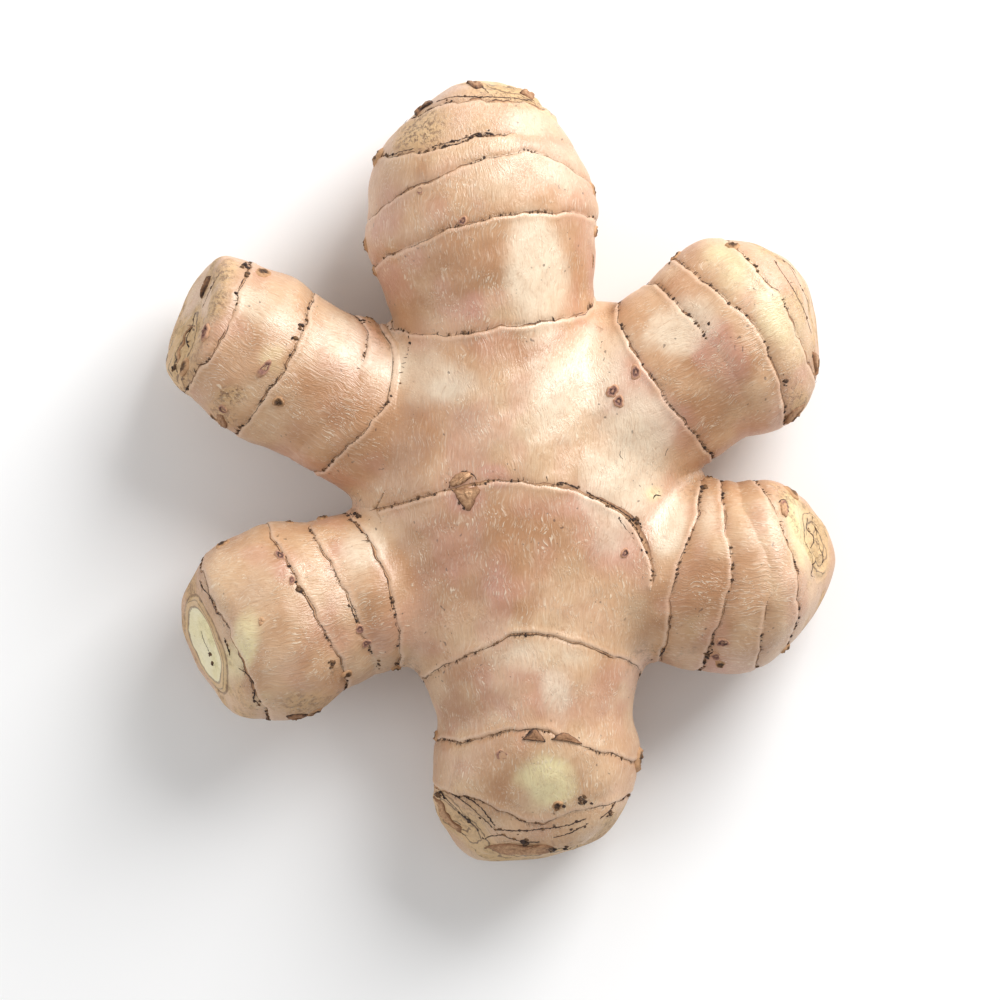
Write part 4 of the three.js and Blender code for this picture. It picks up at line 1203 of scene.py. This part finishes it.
    # Painted shade in the notches, stains near the tips and elsewhere, and specks
    dirt_and_shade = g.times(edged(stain_and_shade, 0.2, 1.1), flakes)
    cover(dirt_and_shade, 0.75, DRY_BROWN)
    few = g.between(g.noise(g.vector("ADD", stem, (20.0, 5.0, 8.0)), 6.0, 0.0), 0.56, 0.66)
    speck = g.between(g.noise(g.vector("ADD", stem, (3.0, 55.0, 8.0)), 0.6, 0.0), 0.76, 0.82)
    cover(g.times(speck, few), 0.6, DARK)
    g.put(g.shader.inputs["Base Color"], tint)

    rough = g.scaled(streak, 0.28, 0.46)
    rough = g.fade(corky, rough, 0.75)
    rough = g.fade(line, rough, 0.8)
    g.put(g.shader.inputs["Roughness"], rough)

    pits = g.times(flakes, corky)
    height = g.times(streak, 0.13)
    for grain, share in ((hair, 0.05), (painted_glint, 0.04), (mottle, 0.06), (pits, -0.16), (line, -0.1)):
        height = g.plus(height, g.times(grain, share))
    bump = g.node("ShaderNodeBump", {"Height": height, "Distance": MM, "Strength": 1.0})
    g.put(g.shader.inputs["Normal"], bump.outputs[0])
    g.shader.inputs["Specular IOR Level"].default_value = 1.0
    return g.material


def dry_material(name, base, edge, darkest):
    """Dead, dry tissue, darker where the stored worn value is high."""
    g = Graph(name)
    worn = g.attribute("worn", "Fac")
    place = g.vector("MULTIPLY", g.node("ShaderNodeTexCoord").outputs["Object"], (1000, 1000, 1000))
    noise = g.noise(place, 0.45, 4.0, 0.65)
    coarse = g.noise(place, 2.0, 2.0)
    uneven = g.plus(worn, g.times(g.minus(noise, 0.5), 0.9))
    tint = g.blend(g.between(uneven, 0.05, 0.6), base, edge)
    tint = g.blend(g.between(g.plus(uneven, g.minus(coarse, 0.5)), 0.55, 1.1), tint, darkest)
    g.put(g.shader.inputs["Base Color"], tint)
    g.put(g.shader.inputs["Roughness"], g.scaled(noise, 0.6, 0.9))
    bump = g.node("ShaderNodeBump", {"Height": noise, "Distance": 0.12 * MM, "Strength": 1.0})
    g.put(g.shader.inputs["Normal"], bump.outputs[0])
    return g.material


def grain_places(source, notes):
    """Each point's place along the stem and along the nearest side finger, for grain that follows
    them, and how far the side finger's grain shows there."""
    stem_grain = np.column_stack([source[:, 1], source[:, 0], source[:, 2]])
    finger_grain = stem_grain.copy()
    best = np.zeros(len(source))
    second_best = np.zeros(len(source))
    for index in SIDE_FINGERS:
        limb = FINGERS[index][0]
        s, left = limb.split(source)
        border_s = FINGERS[index][1][0].plain(np.arctan2(left, source[:, 2] - MIDDLE_HEIGHT)) - BORDER
        aside = smooth((GRAIN_WIDTH - np.abs(left)) / 4) * (s > 0)
        closeness = 0.5 * smooth(1 - (border_s - s) / GRAIN_REACH) * aside
        own = notes["finger"] == index
        closeness[own] = 0.5 + 0.5 * smooth(notes["start"][own] / 6)
        better = closeness > best
        second_best = np.where(better, best, np.maximum(second_best, closeness))
        finger_grain[better] = np.column_stack([s, left, source[:, 2]])[better]
        best = np.maximum(best, closeness)
    return stem_grain, finger_grain, np.maximum(best - second_best - GRAIN_LEAD, 0) / (1 - GRAIN_LEAD)


def make_skin_piece():
    """The whole skin as one mesh, with what its material needs at every corner."""
    notes = skin.notes
    source = skin.points
    disc, fresh = disc_places(source)
    points, _ = settle(source, notes["relief"] + end_relief(source))
    piece = mesh_object("rhizome_skin", points, skin.faces, skin_material())
    stem_grain, finger_grain, side = grain_places(source, notes)
    store(piece, "stem_grain", stem_grain)
    store(piece, "finger_grain", finger_grain)
    store(piece, "side_finger", side)
    store(piece, "rings", np.column_stack([notes["after"], notes["before"], notes["end"]]))
    store(piece, "patches", np.column_stack([paint(source, spots) for spots in (FLESH, CORK, BLUSH)]))
    store(piece, "tones_and_painted_light", np.column_stack([paint(source, spots) for spots in (BROWN_AND_SHADE, PAINTED_HIGHLIGHTS, STAIN_AND_SHADE)]))
    store(piece, "ends", np.column_stack([disc, fresh, 0 * disc]))
    drift = [0.65 * lattice(source / size, k) + 0.35 * lattice(source / size * 2.1, k + 1)
             for k, size in ((40, 9.0), (50, 4.2), (60, 6.5))]
    store(piece, "drift", np.column_stack(drift))
    return piece


# Dry remains along the rings

class Bits:
    """Gathers many small closed shapes into one mesh."""

    def __init__(self):
        self.points = []
        self.worn = []
        self.faces = []
        self.count = 0

    def add(self, points, worn, faces):
        self.points.append(points)
        self.worn.append(np.broadcast_to(worn, len(points)))
        self.faces.extend(tuple(self.count + i for i in face) for face in faces)
        self.count += len(points)

    def add_tube(self, lines, worn, closed):
        """A tube whose sides lie between lines of corners. Each line has its own worn value."""
        columns = len(lines[0])
        points = np.stack(lines, axis=1).reshape(-1, 3)
        self.add(points, np.tile(worn, columns), tube_faces(columns, len(lines), closed))

    def piece(self, name, material):
        piece = mesh_object(name, np.vstack(self.points), self.faces, material)
        store(piece, "worn", np.concatenate(self.worn))
        return piece


def tube_faces(columns, sides, closed):
    """Faces of a tube of columns that each have the same number of sides."""
    faces = []
    for i in range(columns if closed else columns - 1):
        a, b = i * sides, (i + 1) % columns * sides
        faces.extend((a + k, b + k, b + (k + 1) % sides, a + (k + 1) % sides) for k in range(sides))
    if not closed:
        faces.append(tuple(range(sides)))
        faces.append(tuple(reversed(range((columns - 1) * sides, columns * sides))))
    return faces


def around_ring(angle, height):
    """Where noise is read for the angles of a ring, so that it closes on itself."""
    return np.column_stack([np.cos(angle) * NOISE_RADIUS, np.sin(angle) * NOISE_RADIUS,
                            np.full(len(angle), height)])


def torn_strip(parts, length, lift, skin_beyond):
    """The upper and lower corners of a strip beyond a ring, in lines along the ring. A part is
    (share of the strip's length, share of its lift, thickness)."""
    upper, lower = [], []
    for share, rise, thick in parts:
        points, normals = settle(skin_beyond(share * length), ring_relief(share * length))
        upper.append(points + normals * (rise * lift)[:, None])
        lower.append(upper[-1] - normals * thick)
    return upper, lower


def ring_remains(bits, index, ring, seed):
    """The torn foot of a scale leaf, which lies on the skin beyond its ring."""
    limb = FINGERS[index][0]
    if ring.span is None:
        angle = np.arange(TORN_COLUMNS) / TORN_COLUMNS * 2 * math.pi
    else:
        low, high = np.radians(ring.span)
        angle = np.linspace(low + 0.12, high - 0.12, TORN_COLUMNS // 2)
    s = ring.at(angle)
    around = around_ring(angle, seed * 40.0)
    torn = lattice(around / 2.4, seed) - 0.42
    fray = lattice(around / 0.5, seed + 3)
    length = (0.06 + 0.5 * np.maximum(torn, 0) + 0.35 * np.maximum(fray - 0.55, 0)) * ring.strength(angle)
    lift = 0.03 + 0.25 * np.maximum(torn, 0) * lattice(around / 1.1, seed + 5)
    parts = ((-0.25, -0.12, 0.1), (0.3, 0.45, 0.085), (1.0, 1.0, 0.05))

    def skin_beyond(gap):
        return cast_out(limb.centre(s + gap), limb.spoke(angle))

    upper, lower = torn_strip(parts, length, lift, skin_beyond)
    bits.add_tube(upper + lower[::-1], (0.1, 0.45, 1.0, 1.0, 0.6, 0.2), ring.span is None)


def add_fibre(bits, root, normal, forward, length, width, rng):
    """One dry fibre: a thin bent spike."""
    across = np.cross(normal, forward)
    swing = rng.uniform(-0.7, 0.7)
    rise = rng.uniform(0.05, 0.5)
    heading = unit(forward * math.cos(swing) + across * math.sin(swing) + normal * rise)
    bend = rng.uniform(-0.35, 0.35) * across - 0.25 * normal
    points = []
    for t, size in ((-0.15, 1.0), (0.35, 0.8), (0.7, 0.5), (1.0, 0.12)):
        middle = root + heading * length * t + bend * length * max(t, 0) ** 2
        for k in range(3):
            turn = 2 * math.pi * k / 3
            points.append(middle + (across * math.cos(turn) + normal * math.sin(turn)) * width * size)
    bits.add(np.array(points), np.repeat([0.5, 0.8, 0.9, 1.0], 3), tube_faces(4, 3, False))


def ring_fibres(bits, crumbs, index, ring, seed, density):
    """Fibres and crumbs of dry tissue, in clusters along a ring."""
    rng = np.random.default_rng(seed)
    limb = FINGERS[index][0]
    angle = rng.uniform(0, 2 * math.pi, int(density * 90))
    around = around_ring(angle, seed * 17.0)
    chance = smooth((lattice(around / 3.5, seed) - 0.3) / 0.35) * ring.strength(angle)
    angle = angle[rng.uniform(0, 1, len(angle)) < chance]
    s = ring.at(angle)
    points, normals = settle(cast_out(limb.centre(s), limb.spoke(angle)))
    for point, normal in zip(points, normals):
        forward = unit(limb.forward - normal * (limb.forward @ normal))
        if rng.uniform() < 0.62:
            length = rng.uniform(0.25, 0.75) + (rng.uniform(0.2, 0.8) if rng.uniform() < 0.12 else 0)
            add_fibre(bits, point, normal, forward, length, rng.uniform(0.035, 0.075), rng)
        else:
            add_crumb(crumbs, point + forward * rng.uniform(-0.1, 0.25), normal, forward, rng)


def add_crumb(bits, middle, normal, forward, rng, scale=1.0):
    """A small uneven lump."""
    across = np.cross(normal, forward)
    size = rng.uniform(0.09, 0.24) * scale
    points = []
    for level, radius in ((-0.7, 0.6), (0.0, 1.0), (0.7, 0.6)):
        for k in range(6):
            turn = 2 * math.pi * k / 6 + level
            reach = radius * rng.uniform(0.7, 1.3) * size
            offset = across * math.cos(turn) * reach + forward * math.sin(turn) * reach * 1.4
            points.append(middle + offset + normal * level * size)
    bits.add(np.array(points), rng.uniform(0.6, 1.2), tube_faces(3, 6, False))


def middle_ring_details(remains, fibres, crumbs):
    """The same remains along the ring across the hub, on its upper side."""
    line = skin.points[middle[2:-1]]
    rng = np.random.default_rng(77)
    steps = np.gradient(line[:, :2], axis=0)
    beyond = unit(np.column_stack([-steps[:, 1], steps[:, 0], np.zeros(len(line))]))
    t = np.linspace(0, 1, len(line))
    torn = lattice(line / 2.2, 12) - 0.4
    length = 0.12 + 0.6 * np.maximum(torn, 0) + 0.5 * smooth((t - 0.62) / 0.12) * smooth((0.97 - t) / 0.1)
    lift = 0.05 + 0.25 * length * lattice(line / 1.3, 14)
    parts = ((-0.25, -0.12, 0.07), (0.3, 0.5, 0.07), (1.0, 1.0, 0.07))

    def skin_beyond(gap):
        return cast_vertical((line + beyond * gap[:, None])[:, :2], 1)

    upper, lower = torn_strip(parts, length, lift, skin_beyond)
    remains.add_tube(lower + upper[::-1], (0.1, 0.4, 0.9, 0.8, 0.3, 0.05), False)
    points, normals = settle(line)
    for i in rng.integers(0, len(line), 90):
        if lattice(line[i:i + 1] / 3.0, 21)[0] < 0.4:
            continue
        jitter = rng.uniform(-0.25, 0.25, 3) * [1, 1, 0]
        if rng.uniform() < 0.6:
            add_fibre(fibres, points[i] + jitter, normals[i], beyond[i], rng.uniform(0.3, 0.8), 0.05, rng)
        else:
            add_crumb(crumbs, points[i] + jitter, normals[i], beyond[i], rng)


# Marks, plates and clots that the photograph shows on the upper side

# A profile's rows are (radius, height, worn)
PLATE_PROFILE = ((1.0, -0.3, 0.9), (0.96, 0.3, 1.3), (0.8, 0.85, 0.9), (0.45, 1.0, 0.6), (0.1, 0.7, 0.8))


def upper_skin(pixels):
    """Where pixels of the photograph lie on the upper side, and the directions it faces there."""
    inner = at_middle_height(on_photo(pixels))
    for _ in range(4):
        over = np.maximum(root_distance(inner) + 0.25, 0)
        inner -= outward(inner) * over[:, None] * [1, 1, 0]
    points = cast_out(inner, np.array([0.0, 0.0, 1.0]))
    return settle(points, end_relief(points))


def even_steps(pixels, step):
    """Points along a smooth line through pixels, a step in millimetres apart."""
    corners = np.array(pixels, float)
    reach = reaches(corners)
    count = max(int(reach[-1] * PIXEL / step), 3)
    return along(np.column_stack([reach, corners]), np.linspace(0, reach[-1], count))


def add_strand(bits, crumbs, width, density, points, normals, rng):
    """A dry torn edge that lies on the skin, with crumbs along it."""
    tangent = unit(np.gradient(points, axis=0))
    across = np.cross(normals, tangent)
    count = len(points)
    points = points + across * rng.normal(0, 0.05, count)[:, None]
    taper = np.minimum(1, np.minimum(np.arange(count), np.arange(count)[::-1]) / 2.5 + 0.15)
    size = width * taper * rng.uniform(0.35, 1.25, count)
    shape = ((-1.0, -0.35), (-0.5, 0.3), (0.5, 0.3), (1.0, -0.35))
    rows = [points + across * (a * size)[:, None] + normals * (0.02 + b * np.minimum(size, 0.16))[:, None]
            for a, b in shape]
    worn = rng.uniform(0.7, 1.5, (count, 1)) * np.ones(len(shape))
    bits.add(np.stack(rows, axis=1).reshape(-1, 3), worn.ravel(), tube_faces(count, len(shape), False))
    for i in rng.integers(0, count, rng.poisson(density * count * STRAND_STEP)):
        place = points[i] + across[i] * rng.normal(0, width + 0.12)
        if rng.uniform() < 0.35:
            heading = across[i] * rng.choice([-1, 1])
            add_fibre(bits, place, normals[i], heading, rng.uniform(0.25, 0.7), 0.045, rng)
        else:
            add_crumb(crumbs, place, normals[i], tangent[i], rng)


def build_marks(fibres, crumbs):
    rng = np.random.default_rng(5)
    lines = [even_steps(pixels, STRAND_STEP) for _, _, pixels in MARKS]
    points, normals = upper_skin(np.vstack(lines))
    ends = np.cumsum([len(line) for line in lines])
    for (width, density, _), line, end in zip(MARKS, lines, ends):
        part = slice(end - len(line), end)
        add_strand(fibres, crumbs, width, density, points[part], normals[part], rng)
    for x, y, radius, count in CLOTS:
        add_clot(crumbs, x, y, radius, count, rng)


def plate_outline(pixels, rng):
    """The corners round a plate, with a ragged edge."""
    loop = np.array([*pixels, pixels[0]], float)
    reach = reaches(loop)
    outline = along(np.column_stack([reach, loop]), np.arange(PLATE_SIDES) / PLATE_SIDES * reach[-1])
    middle = outline.mean(axis=0)
    outline = middle + (outline - middle) * rng.uniform(0.9, 1.08, (PLATE_SIDES, 1))
    first, later = outline[0] - middle, outline[PLATE_SIDES // 4] - middle
    clockwise = first[0] * later[1] - first[1] * later[0] > 0
    return outline[::-1] if clockwise else outline


def build_plates(bits):
    """Low raised pieces of torn scale and cork, with their edges in the skin."""
    rng = np.random.default_rng(11)
    rings = []
    for _, _, pixels in PLATES:
        outline = plate_outline(pixels, rng)
        middle = outline.mean(axis=0)
        rings.extend(middle + (outline - middle) * share for share, _, _ in PLATE_PROFILE)
    flat, normals = upper_skin(np.vstack(rings))
    size = PLATE_SIDES * len(PLATE_PROFILE)
    level = np.repeat([row[1] for row in PLATE_PROFILE], PLATE_SIDES)
    dark = np.repeat([row[2] for row in PLATE_PROFILE], PLATE_SIDES)
    for k, (rise, worn, _) in enumerate(PLATES):
        part = slice(k * size, (k + 1) * size)
        height = level * rise * rng.uniform(0.75, 1.2, size)
        points = flat[part] + normals[part] * height[:, None]
        bits.add(points, dark * worn, tube_faces(len(PLATE_PROFILE), PLATE_SIDES, False))


def add_clot(bits, x, y, radius, count, rng):
    """A heap of dark lumps."""
    spread = rng.normal(0, radius * 0.5, (count, 2)) + (x, y)
    points, normals = upper_skin(spread)
    for point, normal in zip(points, normals):
        forward = unit(np.cross(normal, [0.3, 0.9, 0.1]))
        add_crumb(bits, point, normal, forward, rng, scale=rng.uniform(1.0, 2.0))


# Root stubs and scars

STUB_PROFILE = ((1.12, -0.5, 0.0), (1.06, 0.0, 0.05), (0.95, 0.4, 0.1), (0.76, 0.7, 0.25),
                (0.54, 0.75, 0.7), (0.34, 0.55, 1.0), (0.16, 0.6, 0.8))
SCAR_PROFILE = ((1.25, -0.4, 0.0), (1.12, 0.2, 0.1), (0.94, 0.7, 0.25), (0.74, 0.8, 0.5),
                (0.52, 0.45, 0.85), (0.32, 0.35, 0.7), (0.14, 0.5, 0.2))
STUB_RISE = 0.7  # a stub's height, against the one in the list
STUB_SIZE = 0.72  # a stub's crown, against the base that the skin makes for it


def add_dome(bits, point, normal, radius, height, profile, seed, stretch=1.0, turn=0.0):
    """An uneven round lump with its foot in the skin. A profile row is (radius, height, worn)."""
    rng = np.random.default_rng(seed)
    helper = np.array([1.0, 0.0, 0.0]) if abs(normal[0]) < 0.9 else np.array([0.0, 1.0, 0.0])
    y = unit(np.cross(normal, helper))
    x = np.cross(y, normal)
    c, s = math.cos(turn), math.sin(turn)
    x, y = x * c + y * s, y * c - x * s
    around = np.arange(DOME_SIDES) / DOME_SIDES * 2 * math.pi
    shape = 1.0
    for turns in (2, 3, 5, 7):
        shape = shape + rng.uniform(0.1, 0.4) / turns * np.sin(turns * around + rng.uniform(0, 6.3))
    points, worn = [], []
    for reach, level, wear in profile:
        rise = level * height * (1 + 0.3 * np.sin(2 * around + rng.uniform(0, 6.3))
                                 + 0.2 * np.sin(5 * around + rng.uniform(0, 6.3)))
        ring = np.outer(np.cos(around) * reach * shape * radius * stretch, x)
        ring += np.outer(np.sin(around) * reach * shape * radius, y)
        points.append(point + ring + np.outer(rise, normal))
        worn.append(wear * rng.uniform(0.7, 1.3, DOME_SIDES))
    faces = [face[::-1] for face in tube_faces(len(profile), DOME_SIDES, False)]
    bits.add(np.vstack(points), np.concatenate(worn), faces)


def build_stubs():
    stubs = Bits()
    for seed, (index, s, degrees, radius, height) in enumerate(STUBS):
        limb = FINGERS[index][0]
        angle = np.array([math.radians(degrees)])
        point, normal = settle(cast_out(limb.centre(np.array([float(s)])), limb.spoke(angle)))
        add_dome(stubs, point[0], normal[0], radius * STUB_SIZE, height * STUB_RISE, STUB_PROFILE, seed)
    piece = stubs.piece("root_stubs", dry_material("root_stub", colour(194, 150, 110), DRY_BROWN, DARK))
    scars = Bits()
    for seed, (x, y, half_length, half_width, turn, height) in enumerate(SCARS):
        point, normal = upper_skin([(x, y)])
        radius, stretch = half_width * PIXEL, half_length / half_width
        turn = math.radians(turn)
        add_dome(scars, point[0], normal[0], radius, height, SCAR_PROFILE, 60 + seed, stretch, turn)
    scar_piece = scars.piece("root_scars", dry_material("root_scar", colour(200, 154, 120), MAUVE, DARK))
    return piece, scar_piece


def build_details():
    remains, fibres, crumbs = Bits(), Bits(), Bits()
    seed = 1
    for index, (_, rings) in enumerate(FINGERS):
        for ring in rings:
            ring_remains(remains, index, ring, seed)
            ring_fibres(fibres, crumbs, index, ring, seed, 1.9)
            seed += 1
    middle_ring_details(remains, fibres, crumbs)
    build_marks(fibres, crumbs)
    build_plates(remains)
    papery = dry_material("dry_scale", colour(212, 168, 128), colour(150, 108, 76), DARK)
    fibrous = dry_material("dry_fibre", colour(120, 84, 58), colour(84, 56, 40), DARK)
    return [
        remains.piece("scale_remains", papery),
        fibres.piece("ring_fibres", fibrous),
        crumbs.piece("ring_crumbs", dry_material("dry_crumb", colour(110, 76, 54), DRY_BROWN, DARK)),
        *build_stubs(),
    ]


# Put together

skin_piece = make_skin_piece()
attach(skin_piece, "root")
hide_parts("rhizome")
for detail in build_details():
    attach(detail, "root")


# Floor, light and camera

def make_floor():
    g = Graph("floor")
    place = g.node("ShaderNodeTexCoord").outputs["Object"]
    grain = g.noise(place, 0.02, 3.0)
    g.put(g.shader.inputs["Base Color"], g.blend(grain, (0.93, 0.93, 0.93, 1), (0.95, 0.95, 0.95, 1)))
    g.shader.inputs["Roughness"].default_value = 0.8
    points = [(x * FLOOR_HALF, y * FLOOR_HALF, 0) for x, y in ((-1, -1), (1, -1), (1, 1), (-1, 1))]
    floor = mesh_object("floor", points, [(0, 1, 2, 3)], g.material, smooth_faces=False)


def make_light(name, place, size, size_y, power):
    """A soft rectangular light that faces the root. Its place is in millimetres."""
    data = bpy.data.lights.new(name, "AREA")
    data.shape = "RECTANGLE"
    data.size = size * MM
    data.size_y = size_y * MM
    data.energy = power
    light = bpy.data.objects.new(name, data)
    light.location = Vector(place) * MM
    light.rotation_euler = (-light.location).to_track_quat("-Z", "Y").to_euler()
    bpy.context.scene.collection.objects.link(light)


def make_world():
    world = bpy.data.worlds.new("studio")
    world.use_nodes = True
    background = world.node_tree.nodes["Background"]
    background.inputs["Color"].default_value = (1.0, 1.0, 1.0, 1.0)
    background.inputs["Strength"].default_value = WORLD_STRENGTH
    bpy.context.scene.world = world


def make_camera():
    data = bpy.data.cameras.new("camera")
    data.sensor_width = SENSOR
    data.lens = SENSOR * CAMERA_RISE / FRAME_WIDTH
    data.clip_end = 20.0
    camera = bpy.data.objects.new("camera", data)
    camera.location = (AIM[0] * MM, AIM[1] * MM, (AIM[2] + CAMERA_RISE) * MM)
    bpy.context.scene.collection.objects.link(camera)
    bpy.context.scene.camera = camera


make_floor()
make_light("key", (400, 500, 420), 420, 600, KEY_POWER)
make_light("fill", (-620, -60, 380), 300, 700, FILL_POWER)
make_world()
make_camera()
bpy.context.scene.view_settings.view_transform = "Standard"
